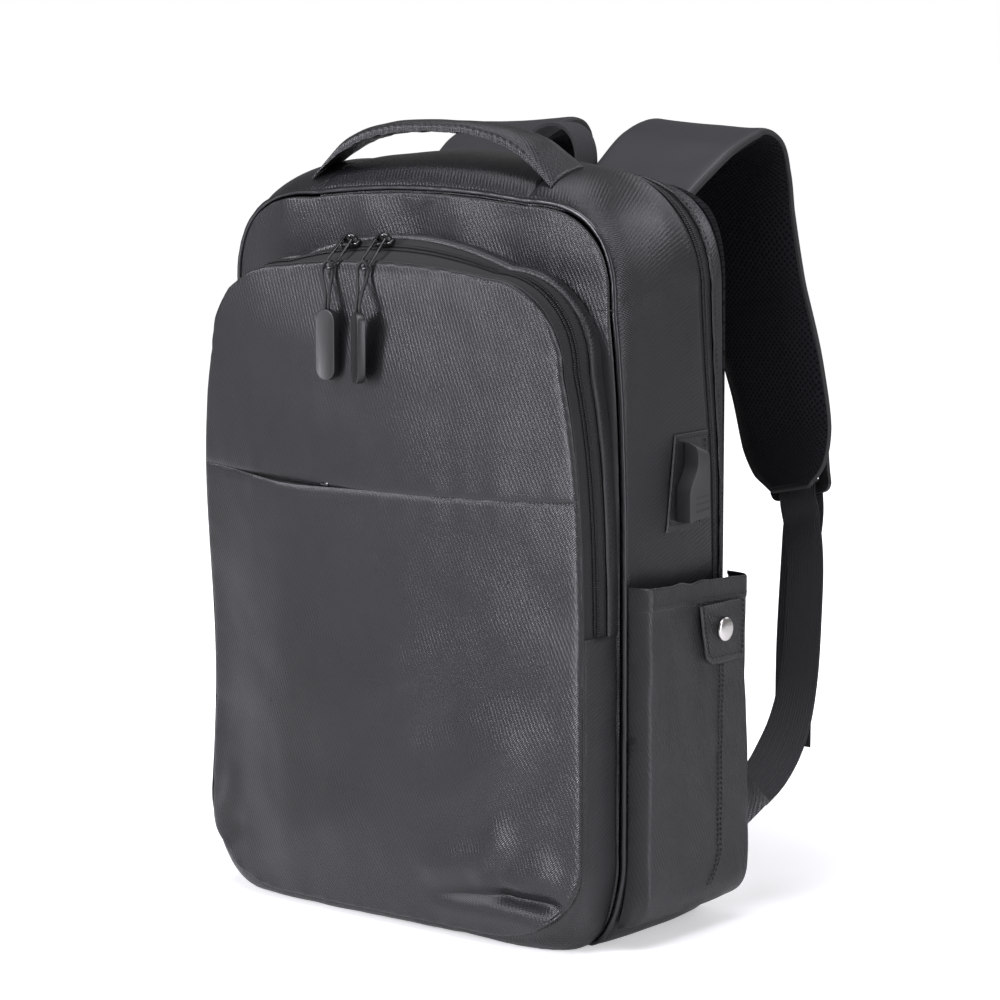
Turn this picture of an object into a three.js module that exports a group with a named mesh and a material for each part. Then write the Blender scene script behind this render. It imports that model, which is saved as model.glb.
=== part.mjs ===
// A faux leather backpack, standing upright on its base.
// Millimetres, +Z up. The origin lies on the floor under the bag, the front pocket faces -Y, and the
// padded back and the shoulder straps face +Y. The bag's right side, as a viewer in front sees it, is +X.

import * as THREE from "three";
import { mergeVertices } from "three/addons/utils/BufferGeometryUtils.js";

const { lerp, clamp, smoothstep, degToRad } = THREE.MathUtils;

// Driving sizes of the main compartment
const BODY_HALF_WIDTH = 149;
const BODY_HEIGHT = 442;
const BODY_DEPTH = 107;
const FRONT_SEAM_SETBACK = 30;
const BACK_PAD_THICKNESS = 11;
const PIPING_RADIUS = 1.7;

// Driving sizes of the cloth
const WALL = 2;
const TAPE_WALL = 1.4;
const TAPE_MARGIN = 3;
const TAPE_GAP = 0.5;
const COIL_WIDTH = 6;
const COIL_HEIGHT = 2;
const GAP = 0.3;

// Driving sizes of the front pocket
const POCKET_DEPTH = 34;
const POCKET_CROWN = 12;
const POCKET_SAG = 15;
const SLIT_HEIGHT = 261;
const SLIT_OPENING = 1.6;
const FRONT_ZIP_WIDTH = 22;

// Driving sizes of the main zip
const MAIN_ZIP_WIDTH = 16;
const MAIN_ZIP_FROM_BACK = 32;

// Driving sizes of the side pockets
const SIDE_POCKET_HEIGHT = 209;
const SIDE_POCKET_STANDOFF = 11;
const HEM_HEIGHT = 12;
const SNAP_RADIUS = 7;

// Driving sizes of the charging port
const PORT_WIDTH = 34;
const PORT_HEIGHT = 45;
const PORT_RISE = 10;

// Driving sizes of the handle, the haul loop and the shoulder straps
const HANDLE_HALF_SPAN = 90;
const HANDLE_RISE = 24;
const HANDLE_WIDTH = 30;
const HANDLE_THICKNESS = 7;
const LOOP_HALF_SPAN = 26;
const LOOP_RISE = 30;
const LOOP_WIDTH = 20;
const STRAP_WIDTH = 82;
const STRAP_PAD = 10;
const STRAP_COVER = 1.8;
const WEBBING_WIDTH = 26;
const WEBBING_THICKNESS = 1.4;
const ADJUSTER_WIDTH = 42;
const ADJUSTER_BAR = 5;
const ADJUSTER_SLOT = 8;
const ADJUSTER_THICKNESS = 3;
const ADJUSTER_STANDOFF = 12;

// Driving sizes of the zip pulls
const PULL_LENGTH = 41;
const PULL_WIDTH = 14.5;
const PULL_THICKNESS = 5;
const CORD_DIAMETER = 2.2;
const SLIDER_LENGTH = 12;
const SLIDER_WIDTH = 6;
const SLIDER_DECK = 3;

// Places that follow from the driving sizes
const FRONT_SEAM_Y = -FRONT_SEAM_SETBACK;
const BACK_SEAM_Y = FRONT_SEAM_Y + BODY_DEPTH;
const PANEL_RIM_Y = FRONT_SEAM_Y - PIPING_RADIUS;
const GUSSET_FRONT_Y = FRONT_SEAM_Y + PIPING_RADIUS + GAP;
const GUSSET_BACK_Y = BACK_SEAM_Y - 4;
const POCKET_FLOOR = 0.032 * BODY_HEIGHT;
const SIDE_POCKET_BACK_Y = BACK_SEAM_Y + 1;
const POCKET_ROOT_Y = PANEL_RIM_Y - GAP;
const POCKET_RIM_Y = POCKET_ROOT_Y - POCKET_DEPTH;

// Turns round an outline: 0 is the middle of the top, 1 the top seam, 2 the end of the top corner,
// 3 the start of the bottom corner, 4 its end and 5 the middle of the base. Left turns are negative.
const TOP_SEAM = 1;
const CORNER_MIDDLE = 1.5;
const LOWER_CORNER_MIDDLE = 3.5;
const CORNER_END = 4;
const BASE_MIDDLE = 5;
const CELLS_PER_TURN = [3, 6, 6, 5, 2];
const ADJUSTER_PLACE = 0.85;
const MAIN_ZIP_END = 2.82;
const FRONT_ZIP_END = 2.54;
const SEAM_SHARE = 0.523;

// Outlines of the body from the front seam to the back seam. Lengths are shares of the named sizes:
// depth of BODY_DEPTH; half, upper and run of BODY_HALF_WIDTH; top, crown, drop, low and rise of BODY_HEIGHT.
// A power under 1 makes the top corner squarer than an ellipse.
const BODY_SECTIONS = [
  { depth: 0.0, half: 1.0, upper: 0.946, top: 0.955, crown: 0.011, drop: 0.136, power: 0.75, run: 0.19, rise: 0.124 },
  { depth: 0.14, half: 1.004, upper: 0.968, top: 0.979, crown: 0.012, drop: 0.14, power: 0.8, run: 0.195, rise: 0.11 },
  { depth: 0.43, half: 1.01, upper: 0.985, top: 0.996, crown: 0.014, drop: 0.15, power: 0.9, run: 0.2, rise: 0.1 },
  { depth: 0.75, half: 1.003, upper: 0.972, top: 0.99, crown: 0.017, drop: 0.158, power: 1.0, run: 0.2, rise: 0.1 },
  { depth: 1.0, half: 0.956, upper: 0.95, top: 0.972, crown: 0.026, drop: 0.15, power: 0.74, run: 0.18, rise: 0.09 },
];

// Outlines of the front pocket from its front rim (depth 0) to its root on the main front panel (depth 1),
// in shares of the same named sizes.
const POCKET_SECTIONS = [
  { depth: 0.0, half: 0.98, upper: 0.886, top: 0.862, crown: 0.012, drop: 0.118, power: 1.0, low: 0.018, run: 0.46, rise: 0.115 },
  { depth: 0.3, half: 0.99, upper: 0.893, top: 0.869, crown: 0.02, drop: 0.121, power: 0.98, low: 0.006, run: 0.3, rise: 0.125 },
  { depth: 0.65, half: 0.987, upper: 0.902, top: 0.873, crown: 0.032, drop: 0.126, power: 0.95, low: 0.001, run: 0.21, rise: 0.13 },
  { depth: 1.0, half: 0.982, upper: 0.906, top: 0.873, crown: 0.034, drop: 0.126, power: 0.95, low: 0.001, run: 0.18, rise: 0.13 },
];

// Soft folds of the front pocket and of the panel above it. x is a share of BODY_HALF_WIDTH, z and length of
// BODY_HEIGHT, width and height of WALL, and lean is in degrees from upright. A fold stands out, a crease sinks in.
const POCKET_FOLDS = [
  { x: 0.42, z: 0.27, lean: -52, length: 0.13, width: 7, height: 1.6 },
  { x: 0.58, z: 0.18, lean: -46, length: 0.12, width: 6, height: 1.8 },
  { x: 0.62, z: 0.09, lean: -70, length: 0.07, width: 5, height: -2.2 },
  { x: -0.3, z: 0.12, lean: 60, length: 0.12, width: 8, height: 1.2 },
  { x: -0.86, z: 0.13, lean: 24, length: 0.06, width: 5, height: 1.6 },
];
const PANEL_FOLDS = [
  { x: -0.52, z: 0.94, lean: 8, length: 0.05, width: 6, height: 1.4 },
  { x: -0.12, z: 0.94, lean: -6, length: 0.05, width: 6, height: -1.2 },
  { x: 0.34, z: 0.93, lean: -20, length: 0.05, width: 6, height: 1.4 },
  { x: 0.7, z: 0.88, lean: -40, length: 0.05, width: 6, height: 1.2 },
];

// The main zip keeps its distance from the back seam down to the port, then drifts towards it.
// turn is counted round the outline, and shift is a share of MAIN_ZIP_FROM_BACK.
const ZIP_DRIFT = [
  { turn: 0, shift: 0 },
  { turn: 1, shift: 0 },
  { turn: 1.9, shift: 0 },
  { turn: 2.1, shift: 0.01 },
  { turn: 2.38, shift: 0.3 },
  { turn: 2.6, shift: 0.38 },
  { turn: 3, shift: 0.38 },
];

// The right shoulder strap's middle line, from its root on the back panel over its crest to its narrow end.
// x is a share of BODY_HALF_WIDTH, back of BODY_DEPTH behind the back seam, z of BODY_HEIGHT and width of
// STRAP_WIDTH, and roll is in degrees round the line.
const STRAP_PATH = [
  { x: 0.45, back: 0.02, z: 0.94, width: 0.9, roll: 4 },
  { x: 0.455, back: 0.27, z: 0.984, width: 0.94, roll: 5 },
  { x: 0.465, back: 0.52, z: 1.022, width: 0.99, roll: 5 },
  { x: 0.475, back: 0.77, z: 1.037, width: 1.0, roll: 4 },
  { x: 0.495, back: 0.916, z: 1.018, width: 0.98, roll: 2 },
  { x: 0.505, back: 0.986, z: 0.972, width: 0.94, roll: 0 },
  { x: 0.53, back: 1.005, z: 0.91, width: 0.9, roll: 0 },
  { x: 0.594, back: 1.0, z: 0.822, width: 0.855, roll: 0 },
  { x: 0.65, back: 0.99, z: 0.764, width: 0.82, roll: -1 },
  { x: 0.738, back: 0.944, z: 0.692, width: 0.775, roll: -2 },
  { x: 0.814, back: 0.888, z: 0.616, width: 0.72, roll: -3 },
  { x: 0.85, back: 0.85, z: 0.575, width: 0.56, roll: -4 },
  { x: 0.868, back: 0.822, z: 0.55, width: 0.3, roll: -4 },
];

// The webbing's main run, from under the adjuster down to the wing at the bag's lower corner, and its free
// tail, in the same shares.
const WEBBING_RUN = [
  { x: 0.885, back: 0.905, z: 0.5, roll: 0 },
  { x: 0.925, back: 0.855, z: 0.45, roll: 0 },
  { x: 0.96, back: 0.77, z: 0.38, roll: 2 },
  { x: 1.0, back: 0.64, z: 0.295, roll: 8 },
  { x: 1.03, back: 0.47, z: 0.234, roll: 26 },
  { x: 1.03, back: 0.3, z: 0.19, roll: 56 },
  { x: 1.015, back: 0.17, z: 0.165, roll: 78 },
];
const WEBBING_TAIL = [
  { x: 0.835, back: 0.99, z: 0.46, roll: 0 },
  { x: 0.82, back: 0.975, z: 0.33, roll: 0 },
  { x: 0.82, back: 0.965, z: 0.186, roll: 2 },
];

const FAUX_LEATHER = { color: 0x3c3c3e, roughness: 0.5, metalness: 0 };
const STRAP_LEATHER = { color: 0x54545c, roughness: 0.55, metalness: 0 };
const ZIP_CLOTH = { color: 0x2b2c2c, roughness: 0.8, metalness: 0 };
const MESH_CLOTH = { color: 0x101014, roughness: 0.95, metalness: 0 };
const WEBBING_CLOTH = { color: 0x22232b, roughness: 0.85, metalness: 0 };
const BLACK_PLASTIC = { color: 0x1a1a1c, roughness: 0.45, metalness: 0 };
const BLACK_METAL = { color: 0x161617, roughness: 0.35, metalness: 0.8 };
const PALE_METAL = { color: 0xd9d5c8, roughness: 0.25, metalness: 1 };
const PORT_RUBBER = { color: 0x4a4a50, roughness: 0.6, metalness: 0 };

const bag = new THREE.Group();

function addPiece(name, geometry, finish) {
  const mesh = new THREE.Mesh(geometry, new THREE.MeshStandardMaterial(finish));
  mesh.name = name;
  bag.add(mesh);
  return mesh;
}

// A value of one column of a table at a place between its rows, on a smooth curve through them.
function readTable(rows, placeColumn, valueColumn, place) {
  const places = rows.map((row) => row[placeColumn]);
  const values = rows.map((row) => row[valueColumn]);
  const curve = new THREE.CubicInterpolant(places, values, 1);
  const last = places.length - 1;
  return curve.evaluate(clamp(place, places[0], places[last]))[0];
}

// A copy of a geometry with only its corners, each shared by the faces that meet there.
function shareCorners(geometry) {
  geometry.deleteAttribute("normal");
  geometry.deleteAttribute("uv");
  return mergeVertices(geometry, 1e-4);
}

// The volume inside a closed surface, below zero where its faces point inwards.
function signedVolume(geometry) {
  const position = geometry.getAttribute("position");
  const [a, b, c] = [new THREE.Vector3(), new THREE.Vector3(), new THREE.Vector3()];
  let volume = 0;
  for (let i = 0; i < geometry.index.count; i += 3) {
    a.fromBufferAttribute(position, geometry.index.getX(i));
    b.fromBufferAttribute(position, geometry.index.getX(i + 1));
    c.fromBufferAttribute(position, geometry.index.getX(i + 2));
    volume += a.dot(b.cross(c)) / 6;
  }
  return volume;
}

// A soft sheet: a box of cells that is bent until each corner lies at place(u, v, w), all from 0 to 1.
function bentSheet(cellsU, cellsV, place) {
  const geometry = shareCorners(new THREE.BoxGeometry(1, 1, 1, cellsU, cellsV, 1));
  const position = geometry.getAttribute("position");
  const corner = new THREE.Vector3();
  for (let i = 0; i < position.count; i += 1) {
    corner.fromBufferAttribute(position, i).addScalar(0.5);
    const bent = place(corner.x, corner.y, corner.z);
    position.setXYZ(i, bent.x, bent.y, bent.z);
  }
  if (signedVolume(geometry) < 0) {
    for (let i = 0; i < geometry.index.count; i += 3) {
      const first = geometry.index.getX(i);
      geometry.index.setX(i, geometry.index.getX(i + 1));
      geometry.index.setX(i + 1, first);
    }
  }
  geometry.computeVertexNormals();
  return geometry;
}

// The outline at one depth, with its shares turned into millimetres.
function sectionAt(rows, depth) {
  const read = (column) => readTable(rows, "depth", column, depth);
  return {
    seam: SEAM_SHARE * BODY_HALF_WIDTH,
    half: read("half") * BODY_HALF_WIDTH,
    upper: read("upper") * BODY_HALF_WIDTH,
    run: read("run") * BODY_HALF_WIDTH,
    top: read("top") * BODY_HEIGHT,
    crown: read("crown") * BODY_HEIGHT,
    drop: read("drop") * BODY_HEIGHT,
    rise: read("rise") * BODY_HEIGHT,
    low: rows[0].low === undefined ? 0 : read("low") * BODY_HEIGHT,
    power: read("power"),
  };
}

function bodySection(y) {
  return sectionAt(BODY_SECTIONS, (y - FRONT_SEAM_Y) / BODY_DEPTH);
}

function pocketSection(depth) {
  return sectionAt(POCKET_SECTIONS, depth);
}

// A point of the right half of an outline, by its turn.
function rightOutline(turn, section) {
  if (turn <= 1) {
    return { x: section.seam * turn, z: section.top + section.crown * (1 - turn * turn) };
  }
  if (turn <= 2) {
    const angle = (2 - turn) * Math.PI * 0.5;
    const across = Math.max(Math.cos(angle), 0) ** section.power;
    const up = Math.max(Math.sin(angle), 0) ** section.power;
    const start = section.top - section.drop;
    return { x: lerp(section.seam, section.upper, across), z: start + section.drop * up };
  }
  if (turn <= 3) {
    const down = turn - 2;
    const flare = (section.half - section.upper) * (1 - down) ** 5;
    const base = section.low + section.rise;
    return { x: section.half - flare, z: lerp(section.top - section.drop, base, down) };
  }
  if (turn <= 4) {
    const angle = (turn - 3) * Math.PI * 0.5;
    return {
      x: section.half - section.run * (1 - Math.cos(angle)),
      z: section.low + section.rise * (1 - Math.sin(angle)),
    };
  }
  return { x: (section.half - section.run) * (BASE_MIDDLE - turn), z: section.low };
}

// A point of the whole outline, moved outwards by a distance.
function outlinePoint(turn, section, outwards) {
  const step = 0.01;
  const size = Math.abs(turn);
  const here = rightOutline(size, section);
  const before = rightOutline(Math.max(size - step, 0), section);
  const after = rightOutline(Math.min(size + step, BASE_MIDDLE), section);
  const along = new THREE.Vector2(after.x - before.x, after.z - before.z).normalize();
  const side = turn < 0 ? -1 : 1;
  return { x: side * (here.x - along.y * outwards), z: here.z + along.x * outwards };
}

// The turn that lies a few millimetres further round the right half.
function stepTurn(turn, section, distance) {
  const step = 0.002;
  const here = rightOutline(turn, section);
  const there = rightOutline(turn + Math.sign(distance) * step, section);
  const length = Math.hypot(there.x - here.x, there.z - here.z);
  return turn + (distance * step) / length;
}

// The turn of a height on the side of an outline.
function sideTurn(z, section) {
  const top = section.top - section.drop;
  return 2 + (top - z) / (top - section.low - section.rise);
}

// The turns where strips between two turns have their corners, so that neighbouring strips bend alike.
function turnStops(first, last) {
  const sign = Math.sign(last - first);
  const stops = [0];
  CELLS_PER_TURN.forEach((cells, turn) => {
    for (let i = 1; i <= cells; i += 1) stops.push(turn + i / cells, -turn - i / cells);
  });
  const between = stops.filter((stop) => (stop - first) * sign > 0.04 && (last - stop) * sign > 0.04);
  return [first, ...between.sort((a, b) => (a - b) * sign), last];
}

// A strip of the body's wall round a row of turns, between two distances from the front.
function bodyStrip(turns, cellsDeep, frontAt, backAt, inner, outer) {
  const cells = turns.length - 1;
  return bentSheet(cells, cellsDeep, (u, v, w) => {
    const turn = turns[Math.round(u * cells)];
    const y = lerp(frontAt(turn), backAt(turn), v);
    const point = outlinePoint(turn, bodySection(y), lerp(inner, outer, w));
    return { x: point.x, y, z: point.z };
  });
}

const zipShift = (turn) => MAIN_ZIP_FROM_BACK * readTable(ZIP_DRIFT, "turn", "shift", Math.abs(turn));
const zipFront = (turn) => BACK_SEAM_Y - MAIN_ZIP_FROM_BACK + zipShift(turn);
const zipBack = (turn) => Math.min(zipFront(turn) + MAIN_ZIP_WIDTH, GUSSET_BACK_Y - 2 * WALL);
const zipMiddle = (turn) => (zipFront(turn) + zipBack(turn)) / 2;

// The sum of the folds of a table at a point of a front panel.
function foldHeight(folds, x, z) {
  let height = 0;
  for (const fold of folds) {
    const lean = degToRad(fold.lean);
    const dx = x - fold.x * BODY_HALF_WIDTH;
    const dz = z - fold.z * BODY_HEIGHT;
    const along = (dx * Math.sin(lean) + dz * Math.cos(lean)) / (fold.length * BODY_HEIGHT);
    const across = (dx * Math.cos(lean) - dz * Math.sin(lean)) / (fold.width * WALL);
    height += fold.height * WALL * Math.exp(-(across ** 2) - along ** 4);
  }
  return height;
}

// How far the main front panel stands out from its rim: a low crown, and folds above the pocket's arch.
function panelCrown(x, z) {
  const across = clamp(x / BODY_HALF_WIDTH, -1, 1);
  const up = clamp((2 * z) / BODY_HEIGHT - 1, -1, 1);
  const crown = PIPING_RADIUS * 3 * (1 - across ** 4) * (1 - up ** 6);
  return crown;
}

function panelFront(x, z) {
  const edge = smoothstep(z, 0.905 * BODY_HEIGHT, 0.93 * BODY_HEIGHT);
  const rim = 1 - smoothstep(z, 0.94 * BODY_HEIGHT, 0.96 * BODY_HEIGHT);
  return PANEL_RIM_Y - panelCrown(x, z) - edge * rim * foldHeight(PANEL_FOLDS, x, z);
}

// The front pocket's rim: on the left its lower half leans back, where the soft bag has sagged.
function rimY(x, z) {
  const left = smoothstep(-x, 0.4 * BODY_HALF_WIDTH, 0.98 * BODY_HALF_WIDTH);
  const height = (z - 0.3 * BODY_HEIGHT) / (0.28 * BODY_HEIGHT);
  return POCKET_RIM_Y + POCKET_SAG * left * Math.exp(-height * height);
}

// How far the front pocket's panels stand out from their rim.
function pocketFront(x, z) {
  const rim = pocketSection(0);
  const middle = (rim.top + rim.low) / 2;
  const half = (rim.top - rim.low) / 2;
  const across = clamp(x / rim.half, -1, 1);
  const up = clamp((z - middle) / half, -1, 1);
  const dome = (1 - across ** 4) * (1 - up ** 4);
  return rimY(x, z) - POCKET_CROWN * dome - dome * foldHeight(POCKET_FOLDS, x, z);
}

// A panel inside four edges, each a function from 0 to 1, blended across from edge to edge.
function framedPanel(cellsU, cellsV, edges, frontAt, thickness) {
  const corners = [edges.low(0), edges.low(1), edges.high(0), edges.high(1)];
  return bentSheet(cellsU, cellsV, (u, v, w) => {
    const [low, high, left, right] = [edges.low(u), edges.high(u), edges.left(v), edges.right(v)];
    const blend = (axis) =>
      lerp(low[axis], high[axis], v) +
      lerp(left[axis], right[axis], u) -
      lerp(lerp(corners[0][axis], corners[1][axis], u), lerp(corners[2][axis], corners[3][axis], u), v);
    const x = blend("x");
    const z = blend("z");
    return { x, y: frontAt(x, z) + thickness(x, z) * w, z };
  });
}

// The four edges of a panel that fills an outline, from its lower corners to its upper corners.
function outlineEdges(section, inset, floor) {
  const around = (turn) => {
    const point = outlinePoint(turn, section, -inset);
    return { x: point.x, z: Math.max(point.z, floor) };
  };
  return {
    low: (u) => {
      const turn = lerp(-1.5, 1.5, u);
      return around((turn < 0 ? -1 : 1) * (BASE_MIDDLE - Math.abs(turn)));
    },
    high: (u) => around(lerp(-CORNER_MIDDLE, CORNER_MIDDLE, u)),
    left: (v) => around(-lerp(LOWER_CORNER_MIDDLE, CORNER_MIDDLE, v)),
    right: (v) => around(lerp(LOWER_CORNER_MIDDLE, CORNER_MIDDLE, v)),
  };
}

function addMainCompartment() {
  const front = bodySection(FRONT_SEAM_Y);
  const inset = PIPING_RADIUS + 3 * GAP;
  const panelFloor = 2 * PIPING_RADIUS + 3 * GAP;
  addPiece(
    "main_front_panel",
    framedPanel(12, 12, outlineEdges(front, inset, panelFloor), panelFront, () => WALL),
    FAUX_LEATHER,
  );

  const frontEdge = () => GUSSET_FRONT_Y;
  const backEdge = () => GUSSET_BACK_Y;
  const beforeZip = (turn) => zipFront(turn);
  const seamBefore = stepTurn(TOP_SEAM, front, -GAP);
  addPiece(
    "top_panel",
    bodyStrip(turnStops(-seamBefore, seamBefore), 6, frontEdge, beforeZip, -WALL, 0),
    FAUX_LEATHER,
  );
  const zipEnd = stepTurn(MAIN_ZIP_END, front, -GAP);
  addPiece(
    "rear_gusset",
    bodyStrip(turnStops(-zipEnd, zipEnd), 1, zipBack, backEdge, -WALL, 0),
    FAUX_LEATHER,
  );
  for (const [name, side] of [["right", 1], ["left", -1]]) {
    addPiece(
      `side_gusset_${name}`,
      bodyStrip(turnStops(side * TOP_SEAM, side * zipEnd), 5, frontEdge, beforeZip, -WALL, 0),
      FAUX_LEATHER,
    );
    addPiece(
      `side_lower_${name}`,
      bodyStrip(turnStops(side * MAIN_ZIP_END, side * CORNER_END), 5, frontEdge, backEdge, -WALL, 0),
      FAUX_LEATHER,
    );
  }

  const baseTurn = stepTurn(CORNER_END, front, GAP);
  addPiece(
    "base_panel",
    bentSheet(4, 4, (u, v, w) => {
      const y = lerp(GUSSET_FRONT_Y, GUSSET_BACK_Y, v);
      const edge = rightOutline(baseTurn, bodySection(y)).x;
      return { x: lerp(-edge, edge, u), y, z: WALL * w };
    }),
    FAUX_LEATHER,
  );

  const back = bodySection(BACK_SEAM_Y);
  const backRim = GUSSET_BACK_Y + GAP;
  addPiece(
    "back_panel",
    framedPanel(12, 12, outlineEdges(back, 0, GAP), () => backRim, backPadThickness),
    MESH_CLOTH,
  );
  addFrontPiping(front);
}

// The back panel is a foam pad, thin at its rim, with a channel down its middle.
function backPadThickness(x, z) {
  const across = clamp(x / (0.956 * BODY_HALF_WIDTH), -1, 1);
  const up = clamp((2 * z) / (0.985 * BODY_HEIGHT) - 1, -1, 1);
  const pad = (1 - across ** 6) * (1 - up ** 8);
  const channel = 0.35 * Math.exp(-((x / (0.1 * BODY_HALF_WIDTH)) ** 2));
  return 4 + BACK_PAD_THICKNESS * pad * (1 - channel);
}

// The piped cord in the front seam, six-sided, with its two ends butted in the middle of the base.
function addFrontPiping(section) {
  const end = stepTurn(BASE_MIDDLE - 0.01, section, -GAP);
  const turns = turnStops(-end, end);
  const cells = turns.length - 1;
  addPiece(
    "front_piping",
    bentSheet(2, cells, (u, v, w) => {
      const turn = turns[Math.round(v * cells)];
      const angle = degToRad(150 - 120 * u) * (w === 0 ? -1 : 1);
      const lift = Math.max(PIPING_RADIUS + GAP - outlinePoint(turn, section, 0).z, 0);
      const point = outlinePoint(turn, section, PIPING_RADIUS * Math.cos(angle));
      return { x: point.x, y: FRONT_SEAM_Y + PIPING_RADIUS * Math.sin(angle), z: point.z + lift };
    }),
    FAUX_LEATHER,
  );
}

// A round cord through a row of points.
function roundCord(points, radius, sides, steps) {
  const circle = new THREE.Shape();
  for (let i = 0; i < sides; i += 1) {
    const angle = (i / sides) * Math.PI * 2;
    const corner = [radius * Math.cos(angle), radius * Math.sin(angle)];
    if (i === 0) circle.moveTo(...corner);
    else circle.lineTo(...corner);
  }
  circle.closePath();
  const path = new THREE.CatmullRomCurve3(points, false, "centripetal");
  const cord = new THREE.ExtrudeGeometry(circle, { steps, extrudePath: path, bevelEnabled: false });
  return shareCorners(cord);
}

function addMainZip() {
  const section = bodySection(FRONT_SEAM_Y);
  const end = stepTurn(MAIN_ZIP_END, section, -GAP);
  const turns = turnStops(end, -end);
  const tapeFront = (turn) => zipFront(turn) - TAPE_MARGIN;
  const tapeBack = (turn) => zipBack(turn) + TAPE_MARGIN / 2;
  const sunk = -WALL - TAPE_GAP;
  addPiece(
    "main_zip_tape",
    bodyStrip(turns, 2, tapeFront, tapeBack, sunk - TAPE_WALL, sunk),
    ZIP_CLOTH,
  );
  const coilFront = (turn) => zipMiddle(turn) - COIL_WIDTH / 2;
  const coilBack = (turn) => zipMiddle(turn) + COIL_WIDTH / 2;
  addPiece(
    "main_zip_coil",
    bodyStrip(turnStops(-end, end), 1, coilFront, coilBack, sunk + TAPE_GAP, sunk + TAPE_GAP + COIL_HEIGHT),
    ZIP_CLOTH,
  );
}

// A strip of the front pocket's side wall, between two distances in millimetres behind its rim.
function pocketStrip(turns, cellsDeep, frontAt, backAt, inner, outer) {
  const cells = turns.length - 1;
  return bentSheet(cells, cellsDeep, (u, v, w) => {
    const share = lerp(frontAt, backAt, v) / POCKET_DEPTH;
    const turn = turns[Math.round(u * cells)];
    const point = outlinePoint(turn, pocketSection(share), lerp(inner, outer, w));
    const root = POCKET_ROOT_Y - panelCrown(point.x, point.z);
    const rim = rimY(point.x, point.z);
    return { x: point.x, y: Math.max(lerp(rim, root, share), rim + WALL + 3 * GAP), z: point.z };
  });
}

function addFrontPocket() {
  const rim = pocketSection(0);
  const slitTurn = (z) => sideTurn(z, rim);
  const edges = outlineEdges(rim, 0, 0);
  const slit = (side) => (u) => {
    const turn = slitTurn(SLIT_HEIGHT + (side * SLIT_OPENING) / 2);
    const right = outlinePoint(turn, rim, 0);
    const x = lerp(-right.x, right.x, u);
    return { x, z: right.z - 2 * WALL * (1 - (x / right.x) ** 2) };
  };
  const span = (from, to) => ({
    left: (v) => outlinePoint(-lerp(from, to, v), rim, 0),
    right: (v) => outlinePoint(lerp(from, to, v), rim, 0),
  });
  addPiece(
    "pocket_panel_lower",
    framedPanel(
      12,
      9,
      {
        low: edges.low,
        high: slit(-1),
        ...span(LOWER_CORNER_MIDDLE, slitTurn(SLIT_HEIGHT - SLIT_OPENING / 2)),
      },
      pocketFront,
      () => WALL,
    ),
    FAUX_LEATHER,
  );
  addPiece(
    "pocket_panel_upper",
    framedPanel(
      12,
      6,
      {
        low: slit(1),
        high: edges.high,
        ...span(slitTurn(SLIT_HEIGHT + SLIT_OPENING / 2), CORNER_MIDDLE),
      },
      pocketFront,
      () => WALL,
    ),
    FAUX_LEATHER,
  );

  // The hidden zip lies behind the slit, and its small slider stands in it.
  const tapeHalf = outlinePoint(slitTurn(SLIT_HEIGHT), rim, 0).x - 2 * WALL;
  const tapeMiddle = (x) => SLIT_HEIGHT - 2 * WALL * (1 - (x / tapeHalf) ** 2);
  addPiece(
    "pocket_slit_tape",
    bentSheet(14, 1, (u, v, w) => {
      const x = lerp(-tapeHalf, tapeHalf, u);
      const z = tapeMiddle(x) + (v - 0.5) * COIL_WIDTH * 2;
      return { x, y: pocketFront(x, z) + WALL + 3 * GAP + w * TAPE_WALL, z };
    }),
    ZIP_CLOTH,
  );
  const sliderX = -0.22 * BODY_HALF_WIDTH;
  const sliderZ = tapeMiddle(sliderX);
  const sliderSize = SLIT_OPENING - 2 * GAP;
  const slider = new THREE.BoxGeometry(COIL_WIDTH, WALL, sliderSize);
  slider.translate(sliderX, pocketFront(sliderX, sliderZ) + WALL / 2, sliderZ);
  addPiece("pocket_slit_slider", shareCorners(slider), BLACK_METAL);

  // The side wall runs under the pocket from one zip end to the other. The zip and its outer strip arch over it.
  const front = WALL + 4 * GAP;
  const zipEdge = front + FRONT_ZIP_WIDTH;
  const root = POCKET_DEPTH;
  const zipEnd = stepTurn(FRONT_ZIP_END, rim, -GAP);
  const rightUnder = turnStops(FRONT_ZIP_END, BASE_MIDDLE);
  const leftUnder = rightUnder.slice(0, -1).reverse().map((turn) => -turn);
  const under = [...rightUnder, ...leftUnder];
  addPiece("pocket_gusset", pocketStrip(under, 3, front, root, -WALL, 0), FAUX_LEATHER);
  const over = turnStops(-zipEnd, zipEnd);
  addPiece("pocket_arch_strip", pocketStrip(over, 1, zipEdge, root, -WALL, 0), FAUX_LEATHER);
  const sunk = -WALL - TAPE_GAP;
  addPiece(
    "front_zip_tape",
    pocketStrip(turnStops(zipEnd, -zipEnd), 2, front, zipEdge + TAPE_MARGIN, sunk - TAPE_WALL, sunk),
    ZIP_CLOTH,
  );
  const middle = (front + zipEdge) / 2;
  const coil = [middle - COIL_WIDTH / 2, middle + COIL_WIDTH / 2];
  addPiece(
    "front_zip_coil",
    pocketStrip(over, 1, ...coil, sunk + TAPE_GAP, sunk + TAPE_GAP + COIL_HEIGHT),
    ZIP_CLOTH,
  );
}

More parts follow.
